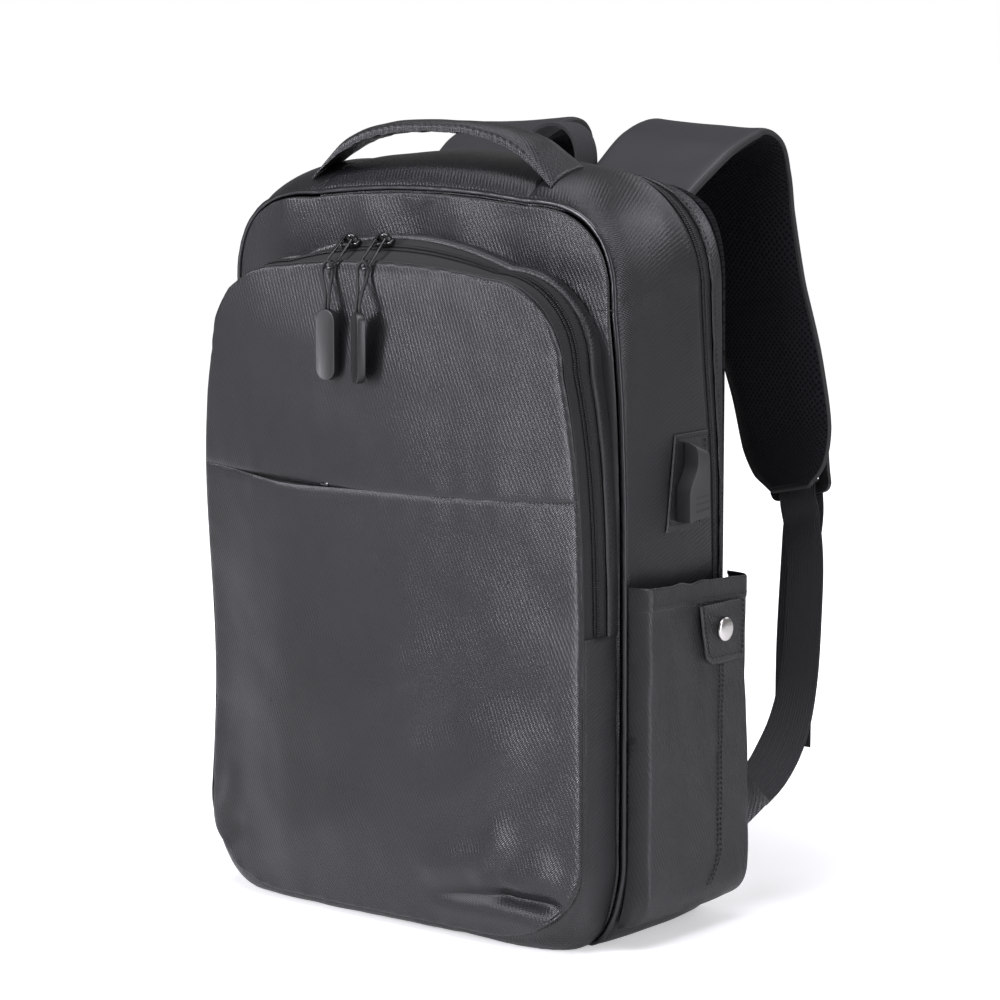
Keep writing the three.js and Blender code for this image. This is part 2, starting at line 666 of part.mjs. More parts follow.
// The outer face of a side pocket: it leaves the front seam, stands off the body, and comes back at the
// back seam and at the bottom corner.
function sidePocketPoint(y, z) {
  const share = (y - GUSSET_FRONT_Y) / (SIDE_POCKET_BACK_Y - GUSSET_FRONT_Y);
  const section = bodySection(y);
  const turn = z > section.rise ? sideTurn(z, section) : cornerTurn(z, section);
  const level = Math.cos((Math.max(turn - 3, 0) * Math.PI) / 2);
  const body = rightOutline(turn, section).x + GAP + WALL * (0.35 + 4 * (1 - level));
  const frontEdge = quarterRound(share / 0.07);
  const backEdge = quarterRound((1 - share) / lerp(0.035, 0.09, smoothstep(z, 0.15 * BODY_HEIGHT, 0.35 * BODY_HEIGHT)));
  const floor = quarterRound((z - POCKET_FLOOR) / (1.5 * POCKET_FLOOR));
  const full = BODY_HALF_WIDTH + SIDE_POCKET_STANDOFF + WALL;
  return lerp(body, full, frontEdge * backEdge * floor);
}

// A rise from 0 to 1 on a quarter of a circle.
function quarterRound(share) {
  return Math.sqrt(1 - (1 - clamp(share, 0, 1)) ** 2);
}

function cornerTurn(z, section) {
  return 3 + Math.asin(clamp(1 - z / section.rise, 0, 1)) / (Math.PI / 2);
}

// A sheet laid on the side pocket, between two offsets outside its face.
function onSidePocket(side, cellsU, cellsV, yAt, zAt, inner, outer) {
  return bentSheet(cellsU, cellsV, (u, v, w) => {
    const y = yAt(u, v);
    const z = zAt(u, v);
    const step = 0.2;
    const here = sidePocketPoint(y, z);
    const slopeY = (sidePocketPoint(y + step, z) - sidePocketPoint(y - step, z)) / (2 * step);
    const slopeZ = (sidePocketPoint(y, z + step) - sidePocketPoint(y, z - step)) / (2 * step);
    const normal = new THREE.Vector3(1, -clamp(slopeY, -3, 3), -clamp(slopeZ, -3, 3)).normalize();
    const outwards = lerp(inner, outer, w);
    return {
      x: side * (here + normal.x * outwards),
      y: y + normal.y * outwards,
      z: z + normal.z * outwards,
    };
  });
}

// Steps across a side pocket that crowd at its front and back folds.
function crowded(share) {
  return 0.5 - 0.5 * Math.sign(0.5 - share) * Math.abs(2 * share - 1) ** 0.6;
}

function addSidePocket(name, side) {
  const top = (u) => SIDE_POCKET_HEIGHT - WALL * 2 * u;
  const across = (u) => lerp(GUSSET_FRONT_Y, SIDE_POCKET_BACK_Y, crowded(u));
  addPiece(
    `side_pocket_${name}`,
    onSidePocket(
      side,
      12,
      7,
      (u) => across(u),
      (u, v) => lerp(POCKET_FLOOR, top(u) - HEM_HEIGHT, v ** 1.7),
      -WALL,
      0,
    ),
    FAUX_LEATHER,
  );
  addPiece(
    `side_pocket_hem_${name}`,
    onSidePocket(
      side,
      12,
      1,
      (u) => across(u),
      (u, v) => top(u) - HEM_HEIGHT + GAP + v * (HEM_HEIGHT - GAP),
      -WALL,
      0.4,
    ),
    FAUX_LEATHER,
  );
}

// The leather tab with its snap, at the back of the right pocket under the hem.
function addPocketTab() {
  const high = SIDE_POCKET_HEIGHT - HEM_HEIGHT - 2 * WALL - GAP;
  const tabHeight = 34;
  const backY = BACK_SEAM_Y - 10;
  addPiece(
    "pocket_tab_right",
    onSidePocket(
      1,
      5,
      4,
      (u, v) => lerp(lerp(backY - 36, backY - 44, v), backY, u),
      (u, v) => high - tabHeight * (1 - v),
      2 * GAP,
      2 * GAP + WALL,
    ),
    FAUX_LEATHER,
  );
  const snapY = backY - 20;
  const snapZ = high - tabHeight / 2 + 1;
  const profile = [
    [0, 0],
    [SNAP_RADIUS, 0],
    [SNAP_RADIUS, 0.8],
    [SNAP_RADIUS * 0.86, 1.6],
    [SNAP_RADIUS * 0.5, 2.1],
    [0, 2.3],
  ].map(([radius, rise]) => new THREE.Vector2(radius, rise));
  const snap = new THREE.LatheGeometry(profile, 16);
  snap.rotateZ(-Math.PI / 2);
  snap.translate(sidePocketPoint(snapY, snapZ) + WALL + 4 * GAP, snapY, snapZ);
  addPiece("tab_snap_right", shareCorners(snap), PALE_METAL);
}

// The charging port: a stitched patch on the right side, and a hooded housing that is high at its front edge.
function addChargingPort() {
  const middleY = zipFront(2.3) - PORT_WIDTH / 2 - 4;
  const middleZ = 0.597 * BODY_HEIGHT;
  const faceX = (y, z, outwards) => outlinePoint(sideTurn(z, bodySection(y)), bodySection(y), outwards).x;
  addPiece(
    "usb_patch",
    bentSheet(3, 4, (u, v, w) => {
      const z = middleZ + (v - 0.5) * (PORT_HEIGHT + 9);
      const y = middleY - 4 + (u - 0.5) * PORT_WIDTH + (0.5 - v) * -8;
      return { x: faceX(y, z, GAP + WALL * w), y, z };
    }),
    FAUX_LEATHER,
  );
  const frontLean = (v) => 8 * smoothstep(v, 0.35, 0.75);
  addPiece(
    "usb_hood",
    bentSheet(6, 8, (u, v, w) => {
      const z = middleZ + (v - 0.5) * PORT_HEIGHT - (v > 0.5 ? (2 * v - 1) * 8 * u : 0);
      const front = middleY - PORT_WIDTH / 2 + frontLean(v);
      const y = lerp(front, middleY + PORT_WIDTH / 2 - 2, u);
      const ends = Math.sqrt(1 - (1 - clamp((1 - v) / 0.14, 0, 1)) ** 2);
      const rise = lerp(PORT_RISE, 2, u ** 0.8) * lerp(0.3, 1, ends);
      return { x: faceX(y, z, 2 * GAP + WALL + rise * w), y, z };
    }),
    PORT_RUBBER,
  );
}

// A flat band swept along a line of rows that hold x, y, z, width and roll. place() gives a point across the
// band (u), along it (v) and between two offsets from the line, which may change across and along.
function bandPlacer(rows, side) {
  const points = rows.map((row) => new THREE.Vector3(side * row.x, row.y, row.z));
  const path = new THREE.CatmullRomCurve3(points, false, "centripetal");
  const table = rows.map((row, index) => ({ ...row, at: index / (rows.length - 1) }));
  return (u, v, offset) => {
    const middle = path.getPoint(v);
    const along = path.getTangent(v);
    const across = new THREE.Vector3(1, 0, 0).addScaledVector(along, -along.x).normalize();
    across.applyAxisAngle(along, degToRad(side * readTable(table, "at", "roll", v)));
    const outwards = new THREE.Vector3().crossVectors(across, along);
    const width = readTable(table, "at", "width", v);
    return middle.addScaledVector(across, (u - 0.5) * width).addScaledVector(outwards, offset);
  };
}

function addHandle() {
  const feetY = FRONT_SEAM_Y + BODY_DEPTH * 0.22;
  const topAt = (x, y) => outlinePoint(x / bodySection(y).seam, bodySection(y), 0).z;
  const surface = (x, y) => topAt(clamp(x, -bodySection(y).seam, bodySection(y).seam), y);
  const crest = surface(0, feetY) + HANDLE_RISE;
  addPiece(
    "handle",
    bentSheet(4, 20, (u, v, w) => {
      const angle = (v - 0.5) * 2;
      const x = HANDLE_HALF_SPAN * angle;
      const y = feetY + (u - 0.5) * HANDLE_WIDTH * (1 - 0.12 * (1 - angle ** 2));
      const section = bodySection(y);
      const share = Math.abs(x) / section.seam;
      const turn = share <= 1 ? share : 2 - (2 / Math.PI) * Math.acos(handleCorner(x, section));
      const floor = outlinePoint(turn, section, 0).z + GAP;
      const lift = (1 - Math.abs(angle) ** 2.6) * (crest - floor - HANDLE_THICKNESS);
      const edge = Math.sqrt(1 - 0.8 * Math.abs(2 * u - 1) ** 3);
      const thickness = lerp(WALL, HANDLE_THICKNESS, smoothstep(1 - Math.abs(angle), 0, 0.25)) * edge;
      return { x, y, z: floor + lift + w * thickness + (1 - edge) };
    }),
    FAUX_LEATHER,
  );
}

// The cosine of the corner angle at a distance from the middle, past the top seam.
function handleCorner(x, section) {
  const share = (Math.abs(x) - section.seam) / (section.upper - section.seam);
  return clamp(share, 0, 1) ** (1 / section.power);
}

// The haul loop leans back from the back seam, between the roots of the shoulder straps.
function addHaulLoop() {
  const section = bodySection(BACK_SEAM_Y);
  const footZ = section.top - LOOP_WIDTH * 0.6;
  const panelY = GUSSET_BACK_Y + GAP + backPadThickness(LOOP_HALF_SPAN, footZ);
  const footY = panelY + GAP + LOOP_WIDTH / 2;
  const thickness = WEBBING_THICKNESS * 1.4;
  addPiece(
    "haul_loop",
    bentSheet(2, 16, (u, v, w) => {
      const angle = Math.PI * (1 - v);
      const across = Math.cos(angle);
      const up = Math.sin(angle) ** 0.7;
      const inner = 1 - (thickness * (1 - w)) / LOOP_HALF_SPAN;
      const z = footZ + (LOOP_RISE + LOOP_WIDTH * 0.6) * up + thickness * w;
      const y = footY + (u - 0.5 + 0.6 * up) * LOOP_WIDTH;
      return { x: LOOP_HALF_SPAN * across * inner, y, z };
    }),
    WEBBING_CLOTH,
  );
}

const placeRow = (row, width) => ({
  x: row.x * BODY_HALF_WIDTH,
  y: BACK_SEAM_Y + row.back * BODY_DEPTH,
  z: row.z * BODY_HEIGHT,
  width,
  roll: row.roll,
});

function addStrap(name, side) {
  const rows = STRAP_PATH.map((row) => placeRow(row, row.width * STRAP_WIDTH));
  const place = bandPlacer(rows, side);
  const rootY = GUSSET_BACK_Y + 2 * GAP;
  const clearOfBack = (point) => {
    const backX = clamp(point.x, -BODY_HALF_WIDTH, BODY_HALF_WIDTH);
    const limit = rootY + backPadThickness(backX, point.z);
    point.y = Math.max(point.y, limit);
    return point;
  };
  const edge = (u) => Math.sqrt(1 - 0.9 * Math.abs(2 * u - 1) ** 4);
  addPiece(
    `strap_pad_${name}`,
    bentSheet(4, 20, (u, v, w) => clearOfBack(place(u, v, -STRAP_PAD * edge(u) * (1 - w)))),
    MESH_CLOTH,
  );
  addPiece(
    `strap_cover_${name}`,
    bentSheet(4, 20, (u, v, w) => clearOfBack(place(1 - u, v, GAP + STRAP_COVER * w))),
    STRAP_LEATHER,
  );

  // The adjuster hangs on a webbing loop, outside the strap's narrow end.
  const origin = place(0.5, ADJUSTER_PLACE, ADJUSTER_STANDOFF);
  const along = place(0.5, 1, 0).sub(place(0.5, ADJUSTER_PLACE, 0)).normalize();
  const across = new THREE.Vector3(1, 0, 0).addScaledVector(along, -along.x).normalize();
  const outwards = new THREE.Vector3().crossVectors(across, along).normalize();
  const at = (acrossBy, alongBy, outwardsBy) =>
    origin
      .clone()
      .addScaledVector(across, acrossBy)
      .addScaledVector(along, alongBy)
      .addScaledVector(outwards, outwardsBy);
  const frameHeight = 3 * ADJUSTER_BAR + 2 * ADJUSTER_SLOT;
  const frame = ladderFrame(frameHeight);
  frame.applyMatrix4(new THREE.Matrix4().makeBasis(across, along, outwards));
  const corner = at(0, 0, -ADJUSTER_THICKNESS / 2);
  frame.translate(corner.x, corner.y, corner.z);
  addPiece(`adjuster_${name}`, frame, BLACK_PLASTIC);

  // The loop is sewn to the strap's cover and holds the adjuster's top bar.
  const around = ADJUSTER_THICKNESS / 2 + 2 * GAP + WEBBING_THICKNESS;
  const seat = STRAP_COVER + 3 * GAP + WEBBING_THICKNESS / 2 - ADJUSTER_STANDOFF;
  const layer = WEBBING_THICKNESS + GAP;
  const loopRows = [
    [-3 * ADJUSTER_BAR, seat],
    [-1.6 * ADJUSTER_BAR, seat + GAP],
    ...hairpin(ADJUSTER_BAR, 1, around, ADJUSTER_BAR * 0.8),
    [-1.2 * ADJUSTER_BAR, seat + 3 * layer],
    [-3 * ADJUSTER_BAR, seat + layer + GAP],
  ];
  addPiece(
    `strap_end_loop_${name}`,
    foldedBand(loopRows, at, WEBBING_WIDTH, WEBBING_THICKNESS * 0.8, 16),
    WEBBING_CLOTH,
  );

  // The webbing comes up from the wing, turns over the adjuster's lowest bar and hangs down as a free tail.
  const turnRows = hairpin(frameHeight - ADJUSTER_BAR, -1, around, 1.4 * ADJUSTER_BAR);
  const corners = turnRows.map(([alongBy, outwardsBy]) => at(0, alongBy, outwardsBy));
  const mirrored = (point) => ({ x: side * point.x, y: point.y, z: point.z });
  const bend = corners.map((point) => ({ ...mirrored(point), width: WEBBING_WIDTH, roll: 0 }));
  const run = WEBBING_RUN.map((row) => placeRow(row, WEBBING_WIDTH)).reverse();
  const tail = WEBBING_TAIL.map((row) => placeRow(row, WEBBING_WIDTH));
  const webbingRows = [...run, ...bend, ...tail];
  const webbing = webbingPlacer(webbingRows, side, across);
  addPiece(
    `strap_webbing_${name}`,
    bentSheet(1, 44, (u, v, w) => webbing(u, v, (w - 0.5) * WEBBING_THICKNESS)),
    WEBBING_CLOTH,
  );
  addWing(name, side, webbing);
}

// A band's route round the edge of a bar, in steps along and outwards of its frame, and back the way it came.
function hairpin(edge, away, around, length) {
  const bend = [-90, -45, 0, 45, 90].map(degToRad);
  return [
    [edge - away * length, -around],
    ...bend.map((angle) => [edge + away * around * Math.cos(angle), around * Math.sin(angle)]),
    [edge - away * length, around],
  ];
}

// A band that turns back on itself: its width keeps one direction, and only its end at the wing rolls.
function webbingPlacer(rows, side, across) {
  const points = rows.map((row) => new THREE.Vector3(side * row.x, row.y, row.z));
  const path = new THREE.CatmullRomCurve3(points, false, "centripetal");
  const table = rows.map((row, index) => ({ ...row, at: index / (rows.length - 1) }));
  return (u, v, offset) => {
    const middle = path.getPoint(v);
    const along = path.getTangent(v);
    const flat = across.clone().addScaledVector(along, -along.dot(across)).normalize();
    flat.applyAxisAngle(along, degToRad(side * readTable(table, "at", "roll", v)));
    const outwards = new THREE.Vector3().crossVectors(flat, along);
    return middle.addScaledVector(flat, (u - 0.5) * WEBBING_WIDTH).addScaledVector(outwards, offset);
  };
}

// A band folded through points given along and outwards of a frame.
function foldedBand(rows, at, width, thickness, cells) {
  const points = rows.map(([alongBy, outwardsBy]) => new THREE.Vector3(0, alongBy, outwardsBy));
  const path = new THREE.CatmullRomCurve3(points, false, "centripetal");
  return bentSheet(1, cells, (u, v, w) => {
    const middle = path.getPoint(v);
    const tangent = path.getTangent(v);
    const offset = (w - 0.5) * thickness;
    return at((u - 0.5) * width, middle.y - tangent.z * offset, middle.z + tangent.y * offset);
  });
}

// The adjuster's frame: three bars and two slots between them.
function ladderFrame(height) {
  const half = ADJUSTER_WIDTH / 2;
  const outline = new THREE.Shape();
  outline.moveTo(-half, 0);
  outline.lineTo(half, 0);
  outline.lineTo(half, height);
  outline.lineTo(-half, height);
  outline.closePath();
  for (const low of [ADJUSTER_BAR, 2 * ADJUSTER_BAR + ADJUSTER_SLOT]) {
    const slot = new THREE.Path();
    const slotHalf = WEBBING_WIDTH / 2 + 2 * GAP;
    slot.moveTo(-slotHalf, low);
    slot.lineTo(-slotHalf, low + ADJUSTER_SLOT);
    slot.lineTo(slotHalf, low + ADJUSTER_SLOT);
    slot.lineTo(slotHalf, low);
    slot.closePath();
    outline.holes.push(slot);
  }
  return shareCorners(
    new THREE.ExtrudeGeometry(outline, { depth: ADJUSTER_THICKNESS, bevelEnabled: false, steps: 1 }),
  );
}

// A cloth wing from the back seam to the lower end of the webbing.
function addWing(name, side, webbing) {
  const tip = (share) => webbing(share, 0, 0);
  const direction = tip(0.5).sub(webbing(0.5, 0.02, 0)).normalize();
  const low = 0.1 * BODY_HEIGHT;
  const high = 0.225 * BODY_HEIGHT;
  const section = bodySection(BACK_SEAM_Y);
  const seam = (share) => {
    const z = lerp(high, low, share);
    return new THREE.Vector3(side * (section.half + WALL), SIDE_POCKET_BACK_Y + 2 * WALL, z);
  };
  const [first, last] = tip(0).z > tip(1).z ? [0, 1] : [1, 0];
  addPiece(
    `strap_wing_${name}`,
    bentSheet(4, 3, (u, v, w) => {
      const end = tip(lerp(first, last, v)).addScaledVector(direction, 4 * GAP);
      const point = seam(v).lerp(end, u);
      return { x: point.x + side * (w - 0.5) * WALL, y: point.y, z: point.z };
    }),
    FAUX_LEATHER,
  );
}

// A zip slider with a bridge, the cord through it and the tab on the cord.
// x and lean of the tab are shares of BODY_HALF_WIDTH, and turn is the tab's turn about its cord in degrees.
const PULLS = [
  { name: "a", x: -0.2, tab: -0.185, turn: 0 },
  { name: "b", x: -0.03, tab: -0.005, turn: -33 },
];

function addPull(pull) {
  const x = pull.x * BODY_HALF_WIDTH;
  const front = WALL + 4 * GAP;
  const middle = (front + front + FRONT_ZIP_WIDTH) / 2;
  const share = middle / POCKET_DEPTH;
  const section = pocketSection(share);
  const seatAt = (distance) => {
    const near = pocketSection(distance / POCKET_DEPTH);
    return outlinePoint(x / near.seam, near, COIL_HEIGHT - WALL + 2 * GAP).z;
  };
  const seat = seatAt(middle) + GAP;
  const slope = Math.atan2(seatAt(middle + 4) - seatAt(middle - 4), 8);
  const root = POCKET_ROOT_Y - panelCrown(x, seat);
  const seatY = lerp(POCKET_RIM_Y, root, share);
  const radius = CORD_DIAMETER / 2;
  const holeTop = SLIDER_DECK + CORD_DIAMETER + 4 * GAP;
  const half = SLIDER_LENGTH / 2;

  // The slider's side profile along the zip: a deck on the coil and a bridge over the cord.
  const profile = new THREE.Shape();
  profile.moveTo(-half, 0);
  profile.lineTo(half, 0);
  profile.lineTo(half, SLIDER_DECK * 0.8);
  profile.lineTo(half * 0.7, holeTop + SLIDER_DECK * 0.6);
  profile.lineTo(-half * 0.7, holeTop + SLIDER_DECK * 0.6);
  profile.lineTo(-half, SLIDER_DECK * 0.8);
  profile.closePath();
  const hole = new THREE.Path();
  hole.moveTo(-half * 0.55, SLIDER_DECK);
  hole.lineTo(-half * 0.45, holeTop);
  hole.lineTo(half * 0.45, holeTop);
  hole.lineTo(half * 0.55, SLIDER_DECK);
  hole.closePath();
  profile.holes.push(hole);
  const body = new THREE.ExtrudeGeometry(profile, { depth: SLIDER_WIDTH, bevelEnabled: false, steps: 1 });
  body.translate(0, 0, -SLIDER_WIDTH / 2);
  body.rotateX(Math.PI / 2 + slope);
  body.translate(x, seatY, seat);
  addPiece(`zip_slider_${pull.name}`, shareCorners(body), BLACK_METAL);

  // The cord goes under the bridge, turns back over it, and both of its ends go down into the tab.
  const inSlider = (acrossBy, forwardBy, upBy) => [
    x + acrossBy,
    seatY - forwardBy * Math.cos(slope) - upBy * Math.sin(slope),
    seat - forwardBy * Math.sin(slope) + upBy * Math.cos(slope),
  ];
  const tabX = pull.tab * BODY_HALF_WIDTH;
  const tabTop = 0.812 * BODY_HEIGHT;
  const turned = degToRad(pull.turn);
  const reach = (PULL_WIDTH * Math.abs(Math.sin(turned)) + PULL_THICKNESS * Math.cos(turned)) / 2;
  const tabY = pocketFront(tabX, tabTop - PULL_LENGTH) - reach - 4 * GAP;
  const strand = radius + GAP;
  const spread = 2.2 * CORD_DIAMETER;
  const holeMiddle = (SLIDER_DECK + holeTop) / 2;
  const overTop = holeTop + SLIDER_DECK * 0.6 + radius + 3 * GAP;
  const deckHalf = SLIDER_WIDTH / 2;
  const hangX = lerp(tabX, x, 0.4);
  const hangY = lerp(tabY, POCKET_RIM_Y - 2 * CORD_DIAMETER, 0.5);
  const hangZ = lerp(tabTop, seat, 0.5);
  const rim = pocketSection(0);
  const rimTop = outlinePoint(x / rim.seam, rim, 0).z;
  const points = [
    [tabX - strand, tabY, tabTop + GAP],
    [tabX - strand * 1.5, tabY, tabTop + 6],
    [hangX - spread * 0.5, hangY, hangZ],
    [x - strand * 1.2, POCKET_RIM_Y - 2 * CORD_DIAMETER, rimTop - GAP],
    [x - strand, POCKET_RIM_Y, rimTop + 1.4 * CORD_DIAMETER],
    inSlider(-strand * 0.8, deckHalf + 1.4 * CORD_DIAMETER, holeMiddle - GAP),
    inSlider(-strand * 0.6, 0, holeMiddle),
    inSlider(-strand * 0.2, -deckHalf - radius - GAP, holeMiddle + GAP),
    inSlider(strand * 0.4, -deckHalf - CORD_DIAMETER - GAP, (holeMiddle + overTop) / 2),
    inSlider(strand, -deckHalf * 0.6, overTop),
    inSlider(strand * 1.2, deckHalf * 0.8, overTop + GAP),
    [x + strand * 1.6, POCKET_RIM_Y + GAP, rimTop + 4.2 * CORD_DIAMETER],
    [x + strand * 1.8, POCKET_RIM_Y - 3 * CORD_DIAMETER, rimTop + CORD_DIAMETER],
    [hangX + spread * 0.5, hangY - GAP, hangZ],
    [tabX + strand * 1.5, tabY, tabTop + 6],
    [tabX + strand, tabY, tabTop + GAP],
  ].map((point) => new THREE.Vector3(...point));
  addPiece(`pull_cord_${pull.name}`, roundCord(points, radius, 6, 30), BLACK_PLASTIC);

  const tab = new THREE.Shape();
  const tabHalf = PULL_WIDTH / 2;
  tab.moveTo(-tabHalf, 0);
  tab.lineTo(-tabHalf, tabHalf - PULL_LENGTH);
  tab.absarc(0, tabHalf - PULL_LENGTH, tabHalf, Math.PI, 2 * Math.PI, false);
  tab.lineTo(tabHalf, 0);
  tab.closePath();
  const block = new THREE.ExtrudeGeometry(tab, {
    depth: PULL_THICKNESS,
    bevelEnabled: false,
    steps: 1,
    curveSegments: 8,
  });
  block.translate(0, 0, -PULL_THICKNESS / 2);
  block.rotateX(Math.PI / 2);
  block.rotateZ(turned);
  block.translate(tabX, tabY, tabTop);
  addPiece(`pull_tab_${pull.name}`, shareCorners(block), BLACK_PLASTIC);
}

addMainCompartment();
addMainZip();
addFrontPocket();
addSidePocket("right", 1);
addSidePocket("left", -1);
addPocketTab();
addChargingPort();
addHandle();
addHaulLoop();
addStrap("right", 1);
addStrap("left", -1);
for (const pull of PULLS) addPull(pull);

export default bag;
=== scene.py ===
# %% [markdown]
# # A faux leather backpack
# A sewn bag is a set of flat panels that are bent by their seams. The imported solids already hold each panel's
# place, so this lesson dresses them: every panel is made again with many more cells, then it gets its rolled
# edges, folds, stitches and cloth. Loading the frame comes first, because all else is measured from it.

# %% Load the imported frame
import math
from functools import lru_cache

import bmesh
import bpy
from mathutils import Matrix, Vector, noise


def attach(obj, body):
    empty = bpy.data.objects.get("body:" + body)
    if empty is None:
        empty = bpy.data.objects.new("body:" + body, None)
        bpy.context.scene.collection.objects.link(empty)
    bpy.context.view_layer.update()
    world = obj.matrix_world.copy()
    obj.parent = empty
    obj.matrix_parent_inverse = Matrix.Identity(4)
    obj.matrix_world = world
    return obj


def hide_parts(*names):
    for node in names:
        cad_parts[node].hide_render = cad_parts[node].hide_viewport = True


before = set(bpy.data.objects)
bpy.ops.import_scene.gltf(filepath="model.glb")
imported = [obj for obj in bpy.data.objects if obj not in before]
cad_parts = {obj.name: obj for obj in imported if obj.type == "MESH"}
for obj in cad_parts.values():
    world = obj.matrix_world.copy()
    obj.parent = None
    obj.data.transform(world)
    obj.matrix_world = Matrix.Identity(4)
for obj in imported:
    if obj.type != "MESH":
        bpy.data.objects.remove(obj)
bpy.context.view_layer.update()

# %% [markdown]
# ## Camera
# A catalogue picture is taken from far away with a long lens, so upright edges stay upright. The camera stands to
# the bag's right, a little above it, and looks slightly down. An aim point and a track rotation are easier to
# read than three angles.

# %% Camera
CAMERA_PLACE = Vector((1.2592, -1.5328, 0.5186))
CAMERA_AIM = Vector((0.022, 0.0175, 0.2423))
CAMERA_LENS = 122.2

camera = bpy.data.objects.new("camera", bpy.data.cameras.new("camera"))
camera.data.lens = CAMERA_LENS
camera.data.sensor_width = 36
camera.location = CAMERA_PLACE
camera.rotation_euler = (CAMERA_AIM - CAMERA_PLACE).to_track_quat("-Z", "Y").to_euler()
bpy.context.scene.collection.objects.link(camera)
bpy.context.scene.camera = camera
print("camera is", round((CAMERA_AIM - CAMERA_PLACE).length, 3), "m away")

# %% [markdown]
# ## Shapes of the bag in numbers
# The bag's outline changes from front to back, so it is kept as a few sections with named columns. Between the
# rows a smooth curve reads each column. Working in millimetres keeps the numbers near what a maker would say,
# and one factor turns them into metres.

# %% Driving sizes
MM = 0.001
BODY_HALF_WIDTH, BODY_HEIGHT, BODY_DEPTH = 149, 442, 107
FRONT_SEAM_Y, BACK_SEAM_Y = -30, 77
PIPING_RADIUS, WALL, GAP = 1.7, 2, 0.3
PANEL_RIM_Y = FRONT_SEAM_Y - PIPING_RADIUS
GUSSET_FRONT_Y = FRONT_SEAM_Y + PIPING_RADIUS + GAP
GUSSET_BACK_Y = BACK_SEAM_Y - 4
POCKET_DEPTH, POCKET_CROWN, POCKET_SAG = 34, 12, 15
POCKET_ROOT_Y = PANEL_RIM_Y - GAP
POCKET_RIM_Y = POCKET_ROOT_Y - POCKET_DEPTH
POCKET_FLOOR = 0.032 * BODY_HEIGHT
SLIT_HEIGHT, SLIT_OPENING = 261, 1.6
FRONT_ZIP_WIDTH, MAIN_ZIP_WIDTH, MAIN_ZIP_FROM_BACK = 22, 16, 32
TAPE_WALL, TAPE_MARGIN, TAPE_GAP, COIL_WIDTH, COIL_HEIGHT = 1.4, 3, 0.5, 6, 2
SIDE_POCKET_HEIGHT, SIDE_POCKET_STANDOFF, HEM_HEIGHT = 209, 11, 12
SIDE_POCKET_BACK_Y = BACK_SEAM_Y + 1
MAIN_ZIP_END, FRONT_ZIP_END, SEAM_SHARE = 2.82, 2.54, 0.523
BASE_MIDDLE = 5

# %% Sections of the body and of the front pocket
def named_rows(columns, rows):
    names = columns.split()
    return [dict(zip(names, row)) for row in rows]


BODY_SECTIONS = named_rows("depth half upper top crown drop power run rise", [
    (0.0, 1.0, 0.946, 0.955, 0.011, 0.136, 0.75, 0.19, 0.124),
    (0.14, 1.004, 0.968, 0.979, 0.012, 0.14, 0.8, 0.195, 0.11),
    (0.43, 1.01, 0.985, 0.996, 0.014, 0.15, 0.9, 0.2, 0.1),
    (0.75, 1.003, 0.972, 0.99, 0.017, 0.158, 1.0, 0.2, 0.1),
    (1.0, 0.956, 0.95, 0.972, 0.026, 0.15, 0.74, 0.18, 0.09),
])
POCKET_SECTIONS = named_rows("depth half upper top crown drop power low run rise", [
    (0.0, 0.98, 0.886, 0.862, 0.012, 0.118, 1.0, 0.018, 0.46, 0.115),
    (0.3, 0.99, 0.893, 0.869, 0.02, 0.121, 0.98, 0.006, 0.3, 0.125),
    (0.65, 0.987, 0.902, 0.873, 0.032, 0.126, 0.95, 0.001, 0.21, 0.13),
    (1.0, 0.982, 0.906, 0.873, 0.034, 0.126, 0.95, 0.001, 0.18, 0.13),
])
ZIP_DRIFT = named_rows("turn shift", [
    (0, 0), (1, 0), (1.9, 0), (2.1, 0.01), (2.38, 0.3), (2.6, 0.38), (3, 0.38),
])
print("sections:", len(BODY_SECTIONS), "of the body,", len(POCKET_SECTIONS), "of the front pocket")


# %% Small helpers for curves
def clamp(value, low, high):
    return max(low, min(high, value))


def lerp(start, end, share):
    return start + (end - start) * share


def smoothstep(value, low, high):
    share = clamp((value - low) / (high - low), 0, 1)
    return share * share * (3 - 2 * share)


def quarter_round(share):
    """A rise from 0 to 1 on a quarter of a circle, as a rolled edge has."""
    return math.sqrt(1 - (1 - clamp(share, 0, 1)) ** 2)


def read_table(rows, place_column, value_column, place):
    """One column between its rows, on a smooth curve through them."""
    places = [row[place_column] for row in rows]
    values = [row[value_column] for row in rows]
    place = clamp(place, places[0], places[-1])
    after = next((i for i in range(1, len(places)) if place < places[i]), len(places) - 1)
    before = after - 1
    earlier, later = before - 1, after + 1
    if earlier < 0:
        earlier = after
    if later >= len(places):
        later = before
    half = (places[after] - places[before]) / 2
    pull_before = half / (places[before] - places[earlier])
    pull_after = half / (places[later] - places[after])
    p = (place - places[before]) / (places[after] - places[before])
    return (
        (-pull_before * p**3 + 2 * pull_before * p**2 - pull_before * p) * values[earlier]
        + ((1 + pull_before) * p**3 - (1.5 + 2 * pull_before) * p**2 + (pull_before - 0.5) * p + 1) * values[before]
        + ((-1 - pull_after) * p**3 + (1.5 + pull_after) * p**2 + 0.5 * p) * values[after]
        + (pull_after * p**3 - pull_after * p**2) * values[later]
    )


# %% Outlines of the bag at any depth
def section_at(rows, depth):
    across = {column: read_table(rows, "depth", column, depth) * BODY_HALF_WIDTH for column in ("half", "upper", "run")}
    up = {column: read_table(rows, "depth", column, depth) * BODY_HEIGHT for column in ("top", "crown", "drop", "rise")}
    low = read_table(rows, "depth", "low", depth) * BODY_HEIGHT if "low" in rows[0] else 0
    return {
        **across, **up, "low": low,
        "seam": SEAM_SHARE * BODY_HALF_WIDTH,
        "power": read_table(rows, "depth", "power", depth),
    }


